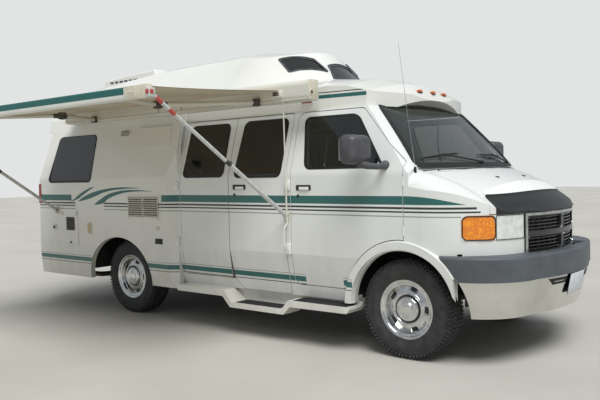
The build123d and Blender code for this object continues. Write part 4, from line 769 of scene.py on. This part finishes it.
turn_front, turn_rear, turn_split = (math.atan2(y - corner_middle.y, x - corner_middle.x) * corner_reach
                                     for x, y in ((2.346, 0.507), (2.071, 0.927), (2.250, 0.760)))
lamp_foot, lamp_head = 0.899, 1.0725
for side, name in sides:
    gasket = bmesh.new()
    for near, far, radius, wide, thick, steps in ((turn_split, turn_rear, 0.040, 0.0075, 0.0045, 7),
                                                  (turn_front, turn_split, 0.006, 0.004, 0.003, 3)):
        ring = frame_ring(rectangle(near, far, lamp_foot, lamp_head), radius, wide, thick, steps)
        join(gasket, on_corner(long_cuts(ring, 0.025), "headlamps", side))
    made("lamp_gasket_" + name, gasket, "root", "rubber_tyre", rubber)


# Front bumper: a bright plated steel blade below a dark moulded cover, with a slot each
# side of a blank plate that hangs on a bracket. Each slot is a flat black strip between
# bright lips: painted shade, standing in for the shadow inside the opening. The rear
# bumper is the same dark moulding.
cover_grey = finish("cover_grey", (88, 93, 98), (72, 77, 82), 0.25, 0.5, 0.3, 0.003)
dress(cover_grey, "bumper_cover", "rear_bumper")
plating = finish("chrome_plating", (226, 226, 222), (206, 206, 200), 0.3, 0.10, 0.05, 0.01, Metallic=1.0)
dress(plating, "front_bumper")
# Near black: the real colour of the plate backings and brackets, and painted shade where it fills the bumper slots.
slot_shade_and_black = finish("slot_shade_and_black", (18, 19, 20), (10, 11, 12), 0.03, 0.6, 0.2, 0.003)
# Each slot: bright lips and a middle bar round a black strip that is painted shade for the hollow behind.
for side, name in sides:
    slot = bmesh.new()
    for low_y, high_y, low_z, high_z, paint in (
        (0.205, 0.454, 0.604, 0.610, 0), (0.205, 0.390, 0.549, 0.555, 0),
        (0.205, 0.452, 0.553, 0.606, 1), (0.246, 0.372, 0.574, 0.579, 0),
    ):
        strip = grid(14, 4)
        for vert in strip.verts:
            t, z = vert.co.x + 0.5, low_z + (high_z - low_z) * (vert.co.y + 0.5)
            reach = high_y if paint == 0 else 0.382 + 0.070 * (z - 0.553) / 0.053
            vert.co = (side * (low_y + (reach - low_y) * t), 0.0014 if paint else 0.0030, z)
        outwards(on_face(strip, "front_bumper"))
        if strip.faces[0].normal.x < 0:
            bmesh.ops.reverse_faces(strip, faces=strip.faces)
        join(slot, thickened(strip, 0.003), paint=paint)
    made("bumper_slot_" + name, slot, "root", "bright_chrome", plating, slot_shade_and_black)
plate_back, plate_face = (0.004, 0.312, 0.158), (0.0025, 0.305, 0.150)
plate_white = finish("blank_plate", (222, 226, 230), (206, 212, 218), 0.05, 0.4, 0.25, 0.004)
holder = bmesh.new()
lean = at(2.5635, -0.030, 0.538) @ tilt(math.radians(11.0), "Y")
blocks(holder, lean, (plate_back, 0.0018, 2, (-0.0035, 0, 0), 0), (plate_face, 0.0012, 2, (0, 0, 0), 1))
for y in (-0.09, 0.09):
    join(holder, rod((-0.002, y, 0.060), (0.0035, y, 0.060), 0.005, 0.0042), lean, 2)
    blocks(holder, lean, ((0.040, 0.030, 0.030), 0.003, 2, (-0.024, y, -0.030), 0))
made("front_plate", holder, "root", "bumper_grey", slot_shade_and_black, plate_white, bright_strip)


# Running boards: white mouldings that carry ribbed black mats on both steps.
mat_black = finish("tread_mat", (48, 49, 50), (32, 33, 34), 0.05, 0.7, 0.4, 0.003)
for name, start, end in (("tread_mat_low_", -0.010, 0.500), ("tread_mat_front_", 0.640, 1.165)):
    for side, hand_name in sides:
        middle_x = (start + end) / 2
        top = skin_under("running_boards", middle_x, side * 0.985, 0.6, down).z
        mat = bmesh.new()
        join(mat, block((end - start, 0.150, 0.004), 0.0015, 1), (middle_x, 0.985, top + 0.001))
        for rib in range(14):
            join(mat, block((end - start - 0.012, 0.0045, 0.003), 0.001, 1),
                 (middle_x, 0.918 + 0.134 * rib / 13, top + 0.0035))
        made(name + hand_name, moved(mat, hand(side)), "root", "black_plastic", mat_black)


# Tyres: road tyres with a ribbed tread of small blocks, lugs on the shoulder and raised
# rings on the wall. Each is a closed carcass with its blocks set round it.
tyre_rubber = finish("tyre_rubber", (62, 62, 62), (44, 44, 45), 0.06, 0.78, 0.35, 0.003)
tyre_side = [(0.206, -0.094), (0.216, -0.101), (0.232, -0.1035), (0.238, -0.1065), (0.262, -0.1095),
             (0.266, -0.1115), (0.292, -0.1118), (0.297, -0.1100), (0.318, -0.1085), (0.336, -0.104),
             (0.351, -0.094), (0.3615, -0.078), (0.3635, -0.040), (0.364, 0.0)]
tyre_bore = [(0.206, 0.070), (0.202, 0.0), (0.206, -0.070)]
lug_foot, lug_count = 0.355, 72


def turned_ring(section, steps=72):
    """A closed section in radius and depth, turned about the Y axle."""
    shape = bmesh.new()
    ring = [shape.verts.new((r, y, 0.0)) for r, y in section]
    edges = [shape.edges.new(pair) for pair in zip(ring, ring[1:] + ring[:1])]
    bmesh.ops.spin(shape, geom=ring + edges, cent=(0, 0, 0), axis=(0, 1, 0), angle=math.tau, steps=steps,
                   use_merge=True)
    bmesh.ops.remove_doubles(shape, verts=shape.verts, dist=1e-5)
    return outwards(shape)


def tyre_mesh():
    """One tyre about the origin, with its axle along Y."""
    lugs = bmesh.new()
    for y, wide, length, turned in ((-0.078, 0.026, 0.022, 0.0), (-0.045, 0.026, 0.024, 0.28),
                                    (-0.0115, 0.027, 0.025, -0.28), (0.0225, 0.027, 0.025, 0.28),
                                    (0.0525, 0.022, 0.024, -0.28), (0.080, 0.024, 0.022, 0.0)):
        top = 0.3716 if abs(y) < 0.07 else 0.3690
        spot = ((top + lug_foot) / 2, y, 0.004 if turned > 0 else -0.004)
        join(lugs, block((top - lug_foot, wide, length), 0.0016, 1),
             at(*spot) @ tilt(turned, "X"))
    for side, _ in sides:
        join(lugs, block((0.026, 0.013, 0.015), 0.002, 1),
             at(0.3455, side * 0.0995, 0.0) @ tilt(side * 0.62, "Z"))
    bmesh.ops.spin(lugs, geom=lugs.verts[:] + lugs.edges[:] + lugs.faces[:], cent=(0, 0, 0), axis=(0, 1, 0),
                   angle=math.tau * (lug_count - 1) / lug_count, steps=lug_count - 1, use_duplicate=True)
    tyre = turned_ring(tyre_side + [(r, -y) for r, y in reversed(tyre_side[:-1])] + tyre_bore, 80)
    join(tyre, lugs)
    return tyre


# Wheels: pressed steel wheels under bright plated covers, with a ring of nuts on a stepped
# hub cap, a dark seat ring, five hand holes, a valve and a rolled bright rim.
wheel_chrome = finish("wheel_plating", (222, 223, 222), (196, 198, 198), 0.06, 0.13, 0.08, 0.004,
                      Metallic=1.0)
hub_dark = finish("hub_shadow", (46, 46, 46), (30, 30, 31), 0.03, 0.6, 0.1, 0.002)
hub_cap = [(0.0, -0.1025), (0.014, -0.1035), (0.030, -0.1035), (0.036, -0.1010), (0.040, -0.1005),
           (0.046, -0.1030), (0.052, -0.1020), (0.058, -0.0960), (0.062, -0.0930), (0.078, -0.0920),
           (0.084, -0.0900), (0.090, -0.0850), (0.094, -0.0780), (0.095, -0.070), (0.0, -0.070)]
seat_ring = [(0.095, -0.066), (0.098, -0.0715), (0.110, -0.0730), (0.113, -0.0765), (0.113, -0.060),
             (0.095, -0.060)]
bright_ring = [(0.113, -0.0785), (0.116, -0.0805), (0.125, -0.080), (0.129, -0.0775), (0.129, -0.071),
               (0.113, -0.071)]
rolled_rim = [(0.1875, -0.0555), (0.193, -0.082), (0.199, -0.094), (0.208, -0.1010), (0.219, -0.1036),
              (0.2225, -0.1015), (0.2215, -0.097), (0.209, -0.0945), (0.200, -0.087), (0.196, -0.055)]
hand_hole = [(0.139, 0.0, -0.020), (0.173, 0.0, -0.031), (0.173, 0.0, 0.031), (0.139, 0.0, 0.020)]


def wheel_dress():
    """The bright cover of one wheel, outward face towards minus Y."""
    cover = bmesh.new()
    for section, steps, paint in ((hub_cap, 64, 0), (seat_ring, 72, 1), (bright_ring, 72, 0),
                                  (rolled_rim, 72, 0)):
        join(cover, turned_ring(section, steps), paint=paint)
    for number in range(8):
        join(cover, rod((0.071, -0.088, 0.0), (0.071, -0.0945, 0.0), 0.0062, 0.0052, 6),
             tilt(math.tau * number / 8 + 0.2, "Y"))
    for number in range(5):
        hole, middle = outline(hand_hole, 0.006, 4, 0.0035)
        for vert in hole.verts:
            vert.co.y = -0.0668 - 0.34 * (0.168 - vert.co.x)
        for face in middle:
            face.material_index = 1
            for vert in face.verts:
                vert.co.y += 0.004
        outwards(hole)
        if hole.faces[0].normal.y > 0:
            bmesh.ops.reverse_faces(hole, faces=hole.faces)
        join(cover, hole, tilt(-math.tau * number / 5, "Y"), None)
    join(cover, rod((0.180, -0.058, 0.0), (0.168, -0.092, 0.0), 0.0042, 0.0036), tilt(0.62, "Y"), 1)
    return cover


half_wheelbase, wheel_radius = 1.6205, 0.372
for end, axle_x, wheel_y in (("front", half_wheelbase, 0.837), ("rear", -half_wheelbase, 0.817)):
    for side, hand_name in sides:
        wheel = "%s_%s" % (end, hand_name)
        place = at(axle_x, side * wheel_y, wheel_radius) @ tilt(0.0 if side < 0 else math.pi, "Z")
        tyre = made("road_tyre_" + wheel, moved(tyre_mesh(), place), "wheel_" + wheel, "rubber_tyre",
                    tyre_rubber)
        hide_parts("tyre_" + wheel)
        made("wheel_cover_" + wheel, moved(wheel_dress(), place), "wheel_" + wheel, "bright_chrome",
             wheel_chrome, hub_dark)
        dress(wheel_chrome, "wheel_" + wheel)


# Roof: three amber marker lamps over the windscreen and a red one on the cheek, dark frames
# round the skylight panes, and slots in the air conditioner's shroud.
amber_lens = finish("amber_lens", (226, 112, 18), (190, 84, 10), 0.03, 0.18, Coat_Weight=1.0,
                    Coat_Roughness=0.03)
red_glass = finish("red_lens", (176, 34, 26), (134, 20, 16), 0.03, 0.2, Coat_Weight=1.0, Coat_Roughness=0.03)
for number, y in enumerate((-0.210, 0.0, 0.210)):
    lamp = block((0.060, 0.046, 0.030), 0.013, 4)
    for vert in lamp.verts:
        if vert.co.x < 0:
            vert.co.y *= 0.62
            vert.co.z *= 0.6
    marker = bmesh.new()
    join(marker, block((0.066, 0.056, 0.010), 0.004), (-0.006, 0, -0.010), 1)
    join(marker, lamp)
    place = skin_under("raised_roof", 2.2, y, 2.040, (-1, 0, 0)) + Vector((-0.016, 0.0, 0.016))
    made("roof_lamp_%d" % (number + 1), moved(marker, place), "root", "lamp_lens", amber_lens, wiper_black)
for side, name in sides:
    marker = bmesh.new()
    join(marker, block((0.120, 0.010, 0.040), 0.004), paint=1)
    join(marker, block((0.104, 0.014, 0.030), 0.006, 3), (0, side * 0.006, 0))
    place = skin_under("raised_roof", 0.668, side * 1.3, 1.983, (0, -side, 0)) + Vector((0, side * 0.003, 0))
    made("side_marker_" + name, moved(marker, place), "root", "red_lens", red_glass, white_cap)

frame_dark = finish("skylight_frame", (86, 88, 96), (64, 66, 74), 0.05, 0.4, 0.1, 0.002)


def roof_at(x, y):
    """The point of the roof or its skylight straight below."""
    spots = [skin_under("raised_roof", x + off_x, y + off_y, 3.0, down)
             for off_x, off_y in ((0.0, 0.0), (0.008, 0.0), (-0.008, 0.0), (0.0, 0.008), (0.0, -0.008))]
    spots.append(skin_under("skylight", x, y, 3.0, down))
    return Vector((x, y, max(spot.z for spot in spots if spot)))


pane_front, pane_back = 0.560, 0.385


def pane_end(y):
    """How far forward the front pane shows before the cab roof covers it, or nothing beside the pane."""
    for step in range(44):
        x = pane_front - 0.004 * step
        glass, roof = (skin_under(node, x, y, 3.0, down) for node in ("skylight", "raised_roof"))
        if glass and (not roof or glass.z > roof.z - 0.0005):
            return x
    return None


front_row = [(pane_end(y), y) for y in (0.28 * step / 10 for step in range(-10, 11))]
front_row = [(x, y) for x, y in front_row if x and x > pane_back + 0.035]
front_pane = [(pane_back, -0.170)] + front_row + [(pane_back, 0.170)]
side_pane = [(0.071, -0.500), (0.291, -0.261), (0.428, -0.235), (0.225, -0.544)]
for name, corners, mirror in (("front", front_pane, 1.0), ("right", side_pane, 1.0), ("left", side_pane, -1.0)):
    spots = []
    for (x_a, y_a), (x_b, y_b) in zip(corners, corners[1:] + corners[:1]):
        for t in (step / 12 for step in range(12)):
            spot = roof_at(x_a + (x_b - x_a) * t, mirror * (y_a + (y_b - y_a) * t))
            spots.append(spot + Vector((0, 0, 0.002)))
    made("skylight_frame_" + name, beading(spots + spots[:1], 0.008, 10), "root", "rubber_tyre", frame_dark)

slots = bmesh.new()
for side, _ in sides:
    for number in range(9):
        spot = skin_under("roof_aircon", -2.60 + 0.085 * number, side * 1.2, 2.485, (0, -side, 0))
        if spot:
            join(slots, block((0.060, 0.006, 0.018), 0.0025), spot + Vector((0, side * 0.0005, 0)))
made("aircon_slots", slots, "root", "moulded_white", hub_dark)


# Hatches on the wide right flank: two refrigerator vents with a pair of louvred grids each,
# the water heater's door with its dark grille, and the small fittings between them.
vent_dark = finish("vent_shadow", (104, 98, 88), (72, 68, 62), 0.03, 0.7, 0.2, 0.003)
louvre_white = finish("louvre_white", (224, 222, 210), (206, 204, 192), 0.04, 0.4, 0.1, 0.002)
brass = finish("brass_lens", (196, 176, 120), (166, 144, 92), 0.02, 0.3, 0.05, 0.002, Coat_Weight=0.8)


def wall(x, z, lift=0.0):
    """A place on the wide right flank."""
    return fitting_at(-1, x, z, wide_skin, lift)


def louvred(whole, low_x, high_x, low_z, high_z, slats):
    """A dark recess with level slats in front of it, in a thin raised frame."""
    wide, high = high_x - low_x, high_z - low_z
    middle = wall((low_x + high_x) / 2, (low_z + high_z) / 2, 0.0095)
    join(whole, block((wide, 0.004, high), 0.0018, 1), middle)
    for number in range(slats):
        z = -high / 2 + high * (number + 0.5) / slats
        join(whole, block((wide - 0.006, 0.007, high / slats * 0.42), 0.0015, 1),
             middle @ at(0, 0.004, z) @ tilt(0.5, "X"), 1)
    upright, level = (0.006, 0.010, high + 0.006), (wide + 0.006, 0.010, 0.006)
    for size, x, z in ((upright, -wide / 2, 0), (upright, wide / 2, 0),
                       (level, 0, -high / 2), (level, 0, high / 2)):
        join(whole, block(size, 0.002, 1), middle @ at(x, 0.003, z), 1)


for name, low_x, high_x, low_z, high_z, slats in (("vent_low", -1.471, -0.967, 0.968, 1.224, 9),
                                                   ("vent_high", -1.396, -0.897, 1.669, 1.872, 8)):
    vent = bmesh.new()
    middle_x = (low_x + high_x) / 2
    louvred(vent, low_x + 0.030, middle_x - 0.012, low_z + 0.034, high_z - 0.030, slats)
    louvred(vent, middle_x + 0.012, high_x - 0.030, low_z + 0.034, high_z - 0.030, slats)
    for x in (low_x + 0.035, high_x - 0.035):
        join(vent, stud(0.004, 0.009, 0.008, 16), wall(x, low_z + 0.015, 0.010), 1)
    made(name, vent, "root", "moulded_white", vent_dark, louvre_white)

heater = bmesh.new()
join(heater, block((0.144, 0.006, 0.140), 0.002), wall(-2.452, 0.901, 0.0105))
for number in range(9):
    join(heater, block((0.136, 0.005, 0.007), 0.0015, 1), wall(-2.452, 0.840 + 0.0153 * number, 0.0145), 2)
for x in (-2.600, -2.340):
    join(heater, block((0.016, 0.006, 0.040), 0.002), wall(x, 1.010, 0.011), 1)
join(heater, stud(0.006, 0.012, 0.010, 20), wall(-2.452, 0.700, 0.009), 2)
made("heater_grille", heater, "root", "moulded_white", vent_dark, louvre_white, hub_dark)

fittings = bmesh.new()
join(fittings, block((0.154, 0.012, 0.064), 0.004), wall(-1.600, 1.833, 0.005), 1)
for number in range(4):
    join(fittings, block((0.128, 0.004, 0.005), 0.001, 1), wall(-1.600, 1.812 + 0.014 * number, 0.012))
join(fittings, block((0.062, 0.014, 0.122), 0.005, 3), wall(-2.112, 0.862, 0.005), 1)
join(fittings, block((0.046, 0.010, 0.100), 0.004, 3), wall(-2.112, 0.862, 0.011), 2)
join(fittings, stud(0.012, 0.034, 0.032, 32), wall(-2.761, 0.856, -0.002), 1)
join(fittings, rod((0, 0.008, 0), (0, 0.016, 0), 0.019, 0.017, 24), wall(-2.761, 0.856, -0.002), 3)
join(fittings, stud(0.010, 0.026, 0.023, 28),
     wall(-1.019, 0.895, -0.002) @ Matrix.Diagonal((1.3, 1.0, 0.8, 1.0)), 1)
join(fittings, block((0.104, 0.008, 0.052), 0.003), wall(-1.004, 0.771, 0.003), 3)
made("flank_fittings", fittings, "root", "moulded_white", vent_dark, louvre_white, brass, hub_dark)


# Awning: a white coated alloy case on the roof edge, two sprung folding arms and a lead
# rail with a teal tape, held up at its ends by telescopic legs clipped to the flank.
lead_low, lead_high = (Vector(corner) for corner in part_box("awning_lead"))
lead_tall = lead_high.z - lead_low.z


def rail_finish():
    """White coating with the teal tape on the rail's outer face."""
    material = finish("rail_white", (226, 226, 218), (214, 214, 206), 0.4, 0.34, 0.05, 0.004)
    tapes = Tapes(material)
    across = tapes.between(tapes.z, lead_low.z + 0.40 * lead_tall, lead_high.z - 0.03 * lead_tall)
    tapes.lay(tapes.all_of(across, tapes.below(tapes.x, 0.352), tapes.flank), teal)
    return material


awning_white = finish("awning_white", (222, 220, 208), (208, 206, 194), 0.5, 0.38, 0.06, 0.004)
dress(rail_finish(), "awning_lead")
dress(awning_white, "awning_housing", "awning_arms", "awning_crank")
leg_alloy = finish("leg_alloy", (212, 214, 210), (192, 195, 192), 0.15, 0.36, 0.1, 0.002, (6.0, 6.0, 0.6))
dress(leg_alloy, "awning_legs")
cream_cap = finish("cream_cap", (222, 216, 196), (206, 198, 178), 0.05, 0.45, 0.1, 0.002)
band_red = finish("band_red", (196, 92, 84), (170, 66, 60), 0.02, 0.5, 0.1, 0.002)
joint_dark = finish("joint_dark", (92, 88, 80), (64, 60, 54), 0.03, 0.6, 0.2, 0.002)
end_bracket = bmesh.new()
lead_middle = (lead_low + lead_high) / 2
join(end_bracket, block((lead_high.x - 0.360, 0.006, lead_tall * 0.98), 0.0025),
     ((lead_high.x + 0.360) / 2, lead_low.y - 0.001, lead_middle.z))
join(end_bracket, block((0.005, 0.050, lead_tall), 0.002), (lead_high.x + 0.0005, lead_middle.y, lead_middle.z))
for x in (0.375, 0.480, lead_high.x - 0.020):
    join(end_bracket, block((0.006, 0.004, lead_tall * 0.7), 0.0015, 1),
         (x, lead_low.y - 0.004, lead_middle.z), 1)
join(end_bracket, block((0.060, 0.004, 0.016), 0.0015, 1),
     (0.430, lead_low.y - 0.0045, lead_low.z + lead_tall * 0.55), 1)
made("lead_end_bracket", end_bracket, "root", "white_alloy", cream_cap, awning_white)

for name, way, head_x, foot in (("front", 1.0, lead_high.x + 0.014, Vector((0.555, -1.026, 1.050))),
                                ("rear", -1.0, lead_low.x - 0.014, Vector((-2.693, -1.087, 1.050)))):
    head = Vector((head_x, -2.436, lead_low.z + 0.034))
    run = foot - head
    parts = bmesh.new()
    for start, end, thick, thin, paint in (
        (0.030, 0.068, 0.0155, None, 1), (0.112, 0.148, 0.0155, None, 1),
        (0.500, 0.535, 0.0185, 0.0165, 2), (0.535, 0.995, 0.0165, None, 0),
    ):
        join(parts, rod(head + run * start, head + run * end, thick, thin, 24), paint=paint)
    knob = head + run * 0.518
    join(parts, rod(knob, knob + Vector((0.034, 0, 0)), 0.010, 0.012, 16), paint=2)
    join(parts, rod(foot - Vector((0.022, 0, 0)), foot + Vector((0.022, 0, 0)), 0.009, None, 16), paint=2)
    blocks(parts, at(*head), ((0.034, 0.056, 0.064), 0.006, 2, (0, 0, 0), 0),
           ((0.005, 0.030, 0.030), 0.002, 2, (way * 0.018, -0.004, 0.004), 1),
           ((0.030, 0.005, 0.030), 0.002, 2, (0, -0.0285, 0.004), 1))
    blocks(parts, at(*foot), ((0.036, 0.020, 0.074), 0.004, 2, (0, 0.014, -0.005), 3))
    made("leg_fittings_" + name, parts, "root", "white_alloy", leg_alloy, band_red, joint_dark, cream_cap)

elbows = bmesh.new()
for shoulder_x, elbow_x, joint_x in ((0.300, -0.160, 0.230), (-1.960, -1.500, -1.890)):
    shoulder = Vector((shoulder_x, -1.072, 1.990))
    joint = Vector((joint_x, -2.400, lead_low.z + 0.028))
    elbow = Vector((elbow_x, -1.740, (shoulder.z + joint.z) / 2))
    for spot, half in ((elbow, 0.030), (shoulder, 0.029)):
        up = Vector((0, 0, half))
        join(elbows, rod(spot - up, spot + up, 0.034, None, 28))
        bolt = spot - up
        join(elbows, rod(bolt - Vector((0, 0, 0.006)), bolt + Vector((0, 0, 0.002)), 0.014, None, 20), paint=1)
    for far in (shoulder, joint):
        join(elbows, rod(elbow.lerp(far, 0.03), elbow.lerp(far, 0.10), 0.024, 0.020, 20))
made("arm_joints", elbows, "root", "white_alloy", joint_dark, bright_strip)

case = bmesh.new()
for x in (0.519, -2.390):
    blocks(case, at(x, 0, 2.040), ((0.110, 0.026, 0.056), 0.004, 2, (0, -1.066, 0), 0),
           ((0.066, 0.006, 0.030), 0.002, 1, (0, -1.0795, 0), 1))
    for bolt_x in (x - 0.020, x + 0.020):
        join(case, rod((bolt_x, -1.080, 2.040), (bolt_x, -1.0855, 2.040), 0.007, None, 16), paint=2)
for x in (-0.960, -0.640):
    join(case, block((0.006, 0.004, 0.075), 0.001, 1), (x, -1.0615, 2.020), 1)
join(case, block((3.330, 0.006, 0.010), 0.002, 1), (-0.830, -1.0625, 1.986))
for x, way in ((0.838, 1.0), (-2.498, -1.0)):
    join(case, block((0.010, 0.120, 0.150), 0.004), (x, -0.994, 2.054), 3)
    for near, far, thick, thin, segments, paint in ((0.0, 0.009, 0.026, 0.024, 28, 3),
                                                    (0.008, 0.0105, 0.014, None, 24, 1)):
        join(case, rod((x + way * near, -1.020, 2.036), (x + way * far, -1.020, 2.036), thick, thin, segments),
             paint=paint)
made("awning_case_trim", case, "root", "white_alloy", awning_white, joint_dark, bright_strip, cream_cap)

# Awning cloth: coated canvas drawn from the roller to the lead rail, with a hem at each
# edge. Its off-white is painted down to a warm beige, which is painted shade: the look
# of the cloth in the awning's own shadow. It is stretched, so it only sags a little between the arms.
canvas = finish("awning_canvas", (198, 184, 154), (180, 166, 136), 0.5, 0.85, 0.6, 0.0016, Sheen_Weight=0.2)
cloth_low, cloth_high = (Vector(corner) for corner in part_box("awning_cloth"))
cloth_wide = cloth_high.x - cloth_low.x - 0.010
roller, rail = Vector((0, -1.0605, 2.0700)), Vector((0, -2.4115, lead_low.z + 0.0835))
cloth = grid(96, 40)
for vert in cloth.verts:
    across, t = vert.co.x + 0.5, vert.co.y + 0.5
    spot = roller.lerp(rail, t)
    sag = -0.010 * math.sin(math.pi * t) * (0.6 + 0.4 * math.cos(math.tau * 2 * across))
    ripple = 0.0016 * math.sin(38.0 * across + 4.0 * t) * math.sin(math.pi * t)
    vert.co = (cloth_low.x + 0.005 + cloth_wide * across, spot.y, spot.z + sag + ripple)
cloth_piece = made("awning_canvas", thickened(outwards(cloth), 0.0012), "root", "awning_fabric", canvas)
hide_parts("awning_cloth")
hems = bmesh.new()
for x in (cloth_low.x + 0.012, cloth_high.x - 0.012):
    spots = [roller.lerp(rail, t) + Vector((x, 0, -0.0035 - 0.0095 * math.sin(math.pi * t)))
             for t in (step / 20 for step in range(21))]
    join(hems, beading(spots, 0.0028, 6))
hem_piece = made("canvas_hems", hems, "root", "awning_fabric", canvas)


# Tail: ribbed red lamps round the corners, rubber seals round the rear panes, a black pull
# handle and a blank plate under its lamp.
tail_red = finish("tail_red", (172, 30, 24), (120, 16, 14), 0.05, 0.2, 0.5, 0.006, (0.2, 0.2, 3.0),
                  Coat_Weight=1.0, Coat_Roughness=0.04)
dress(tail_red, "tail_lamps")


def on_tail(shape, lift):
    """Bends a flat shape onto the rear skin: its X runs across, its Y stands off."""
    for vert in shape.verts:
        y, out, z = vert.co.x, vert.co.y, vert.co.z
        vert.co = (tail_x + wide_lean * max(0.0, z - belt) - lift - out, y, z)
    return outwards(shape)


for side, hand_name in sides:
    corners = grown(rectangle(*sorted((0.120 * side, 0.690 * side)), 1.270, 1.780), 0.008)
    made("seal_rear_" + hand_name, on_tail(long_cuts(frame_ring(corners, 0.058, 0.022, 0.010), 0.08), -0.007),
         "rear_door_" + hand_name, "rubber_tyre", rubber)
pull = bmesh.new()
blocks(pull, at(-3.061, -0.062, 1.090), ((0.012, 0.046, 0.150), 0.005, 3, (0, 0, 0), 0),
       ((0.014, 0.024, 0.098), 0.005, 3, (-0.008, 0, 0.004), 1))
join(pull, rod((-3.058, -0.062, 0.985), (-3.067, -0.062, 0.985), 0.0125, 0.011, 20))
made("handle_rear", pull, "rear_door_right", "black_plastic", cup_black, white_cap)
rear_plate = bmesh.new()
blocks(rear_plate, at(0, 0.380, 0.930), (plate_back, 0.0018, 2, (-3.0625, 0, 0), 0),
       ((0.003, 0.305, 0.150), 0.0012, 2, (-3.0655, 0, 0), 1),
       ((0.026, 0.120, 0.022), 0.006, 3, (-3.070, 0, 0.1), 2))
made("rear_plate", rear_plate, "rear_door_left", "bumper_grey", slot_shade_and_black, plate_white, wiper_black)


# Underside: rails, axles and tank in dull black, rough iron for the engine and a stained
# steel exhaust.
chassis_paint = finish("chassis_paint", (44, 43, 41), (28, 27, 26), 0.12, 0.72, 0.4, 0.006)
dress(chassis_paint, "chassis_frame", "front_axle", "rear_axle", "knuckle_right", "knuckle_left", "hitch",
      "drive_shaft", "fuel_tank", "floor_pan")
dress(finish("engine_iron", (74, 72, 68), (52, 50, 47), 0.05, 0.65, 0.8, 0.004, Metallic=0.5), "engine")
dress(finish("exhaust_steel", (98, 88, 76), (62, 50, 42), 0.06, 0.5, 0.5, 0.003, Metallic=0.8), "exhaust")


# Cab: woven cloth seats on boxed bases, a grained dashboard with round gauges and vents, a
# grained steering wheel and a plain carpet on the floor.
seat_cloth = finish("seat_cloth", (112, 116, 120), (84, 88, 94), 0.02, 0.9, 0.8, 0.0018, Sheen_Weight=0.35)
trim_grey = finish("dash_grain", (92, 95, 98), (74, 77, 80), 0.08, 0.62, 0.5, 0.0022)
dress(trim_grey, "dashboard")
dress(finish("steering_grain", (46, 47, 48), (32, 33, 34), 0.03, 0.5, 0.5, 0.0016), "steering_wheel")


def pad(name, size, place, puff):
    """A seat pad: a rounded block that swells under cloth simulation, with sewn channels on top."""
    shape = block(size, 0.030, 3)
    mesh = bpy.data.meshes.new(name)
    shape.to_mesh(mesh)
    shape.free()
    piece = bpy.data.objects.new(name, mesh)
    scene.collection.objects.link(piece)
    remesh = piece.modifiers.new("even", "REMESH")
    remesh.mode = "VOXEL"
    remesh.voxel_size = 0.016
    soft = piece.modifiers.new("swell", "CLOTH")
    soft.settings.use_pressure = True
    soft.settings.uniform_pressure_force = 3.0
    soft.settings.effector_weights.gravity = 0.0
    for step in range(1, 15):
        scene.frame_set(step)
    held = bpy.data.meshes.new_from_object(piece.evaluated_get(bpy.context.evaluated_depsgraph_get()))
    scene.frame_set(1)
    piece.modifiers.clear()
    half = Vector(size) / 2
    for vert in held.vertices:
        spot = vert.co
        for axis in range(3):
            limit = half[axis] + (puff if axis == 2 else puff * 0.4)
            spot[axis] = max(-limit, min(limit, spot[axis]))
        for channel in (-0.36, 0.36):
            gap = abs(spot.y / half.y - channel)
            if spot.z > 0 and gap < 0.09:
                spot.z -= 0.012 * (1.0 - gap / 0.09) ** 2
        if spot.z < -half.z * 0.6:
            spot.z = max(spot.z, -half.z)
        vert.co = spot
    held.transform(place)
    piece.data = held
    held.materials.append(seat_cloth)
    held.polygons.foreach_set("use_smooth", [True] * len(held.polygons))
    smoother = piece.modifiers.new("smooth", "SUBSURF")
    smoother.levels = 1
    smoother.render_levels = 1
    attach(piece, "root")
    return piece


def leaning(x, y, z, degrees):
    """A place in the cab, leaning back about its own cross axis."""
    return at(x, y, z) @ tilt(math.radians(degrees), "Y")


seat_pieces = []
for side, hand_name in sides:
    y = side * 0.540
    cushion = pad("seat_cushion_" + hand_name, (0.520, 0.470, 0.110), at(0.985, y, 0.880), 0.012)
    back = pad("seat_back_" + hand_name, (0.700, 0.450, 0.085), leaning(0.688, y, 1.265, -80.0), 0.010)
    base = bmesh.new()
    blocks(base, at(0.945, y, 0.712), ((0.380, 0.410, 0.215), 0.012, 2, (0, 0, 0), 0),
           ((0.420, 0.030, 0.024), 0.006, 2, (0, -0.215, 0.088), 1),
           ((0.420, 0.030, 0.024), 0.006, 2, (0, 0.215, 0.088), 1))
    join(base, block((0.024, 0.440, 0.680), 0.010, 3), leaning(0.630, y, 1.235, 10.0))
    frame_piece = made("seat_base_" + hand_name, base, "root", "grey_trim", trim_grey, chassis_paint)
    seat_pieces += [cushion, back, frame_piece]
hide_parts("cab_seats")

gauge_face = finish("gauge_face", (24, 25, 26), (16, 17, 18), 0.02, 0.3, 0.05, 0.002, Coat_Weight=0.6)
panel = bmesh.new()
for y, reach in ((0.585, 0.052), (0.455, 0.052), (0.670, 0.030), (0.370, 0.030)):
    spot = skin_under("dashboard", 0.9, y, 1.290, (1, 0, 0))
    if spot:
        join(panel, rod((0.004, 0, 0), (-0.005, 0, 0), reach, reach * 0.97, 32), spot)
        join(panel, rod((-0.004, 0, 0), (-0.007, 0, reach * 0.75), 0.0018, 0.001, 8), spot, 1)
for y in (-0.760, -0.240, 0.200, 0.780):
    spot = skin_under("dashboard", 0.9, y, 1.250, (1, 0, 0))
    if spot:
        join(panel, block((0.010, 0.130, 0.060), 0.004), spot, 2)
        for number in range(5):
            join(panel, block((0.012, 0.118, 0.004), 0.001, 1),
                 spot + Vector((-0.002, 0, -0.022 + 0.011 * number)))
made("dash_panel", panel, "root", "grey_trim", gauge_face, plate_white, trim_grey)

carpet = finish("floor_carpet", (92, 88, 82), (70, 66, 62), 0.03, 0.95, 0.9, 0.003, Sheen_Weight=0.3)
mat = grid(48, 24)
for vert in mat.verts:
    vert.co = (-0.95 + 2.10 * (vert.co.x + 0.5), 1.76 * vert.co.y, 0.604)
made("cab_carpet", thickened(mat, -0.004), "root", "seat_fabric", carpet)
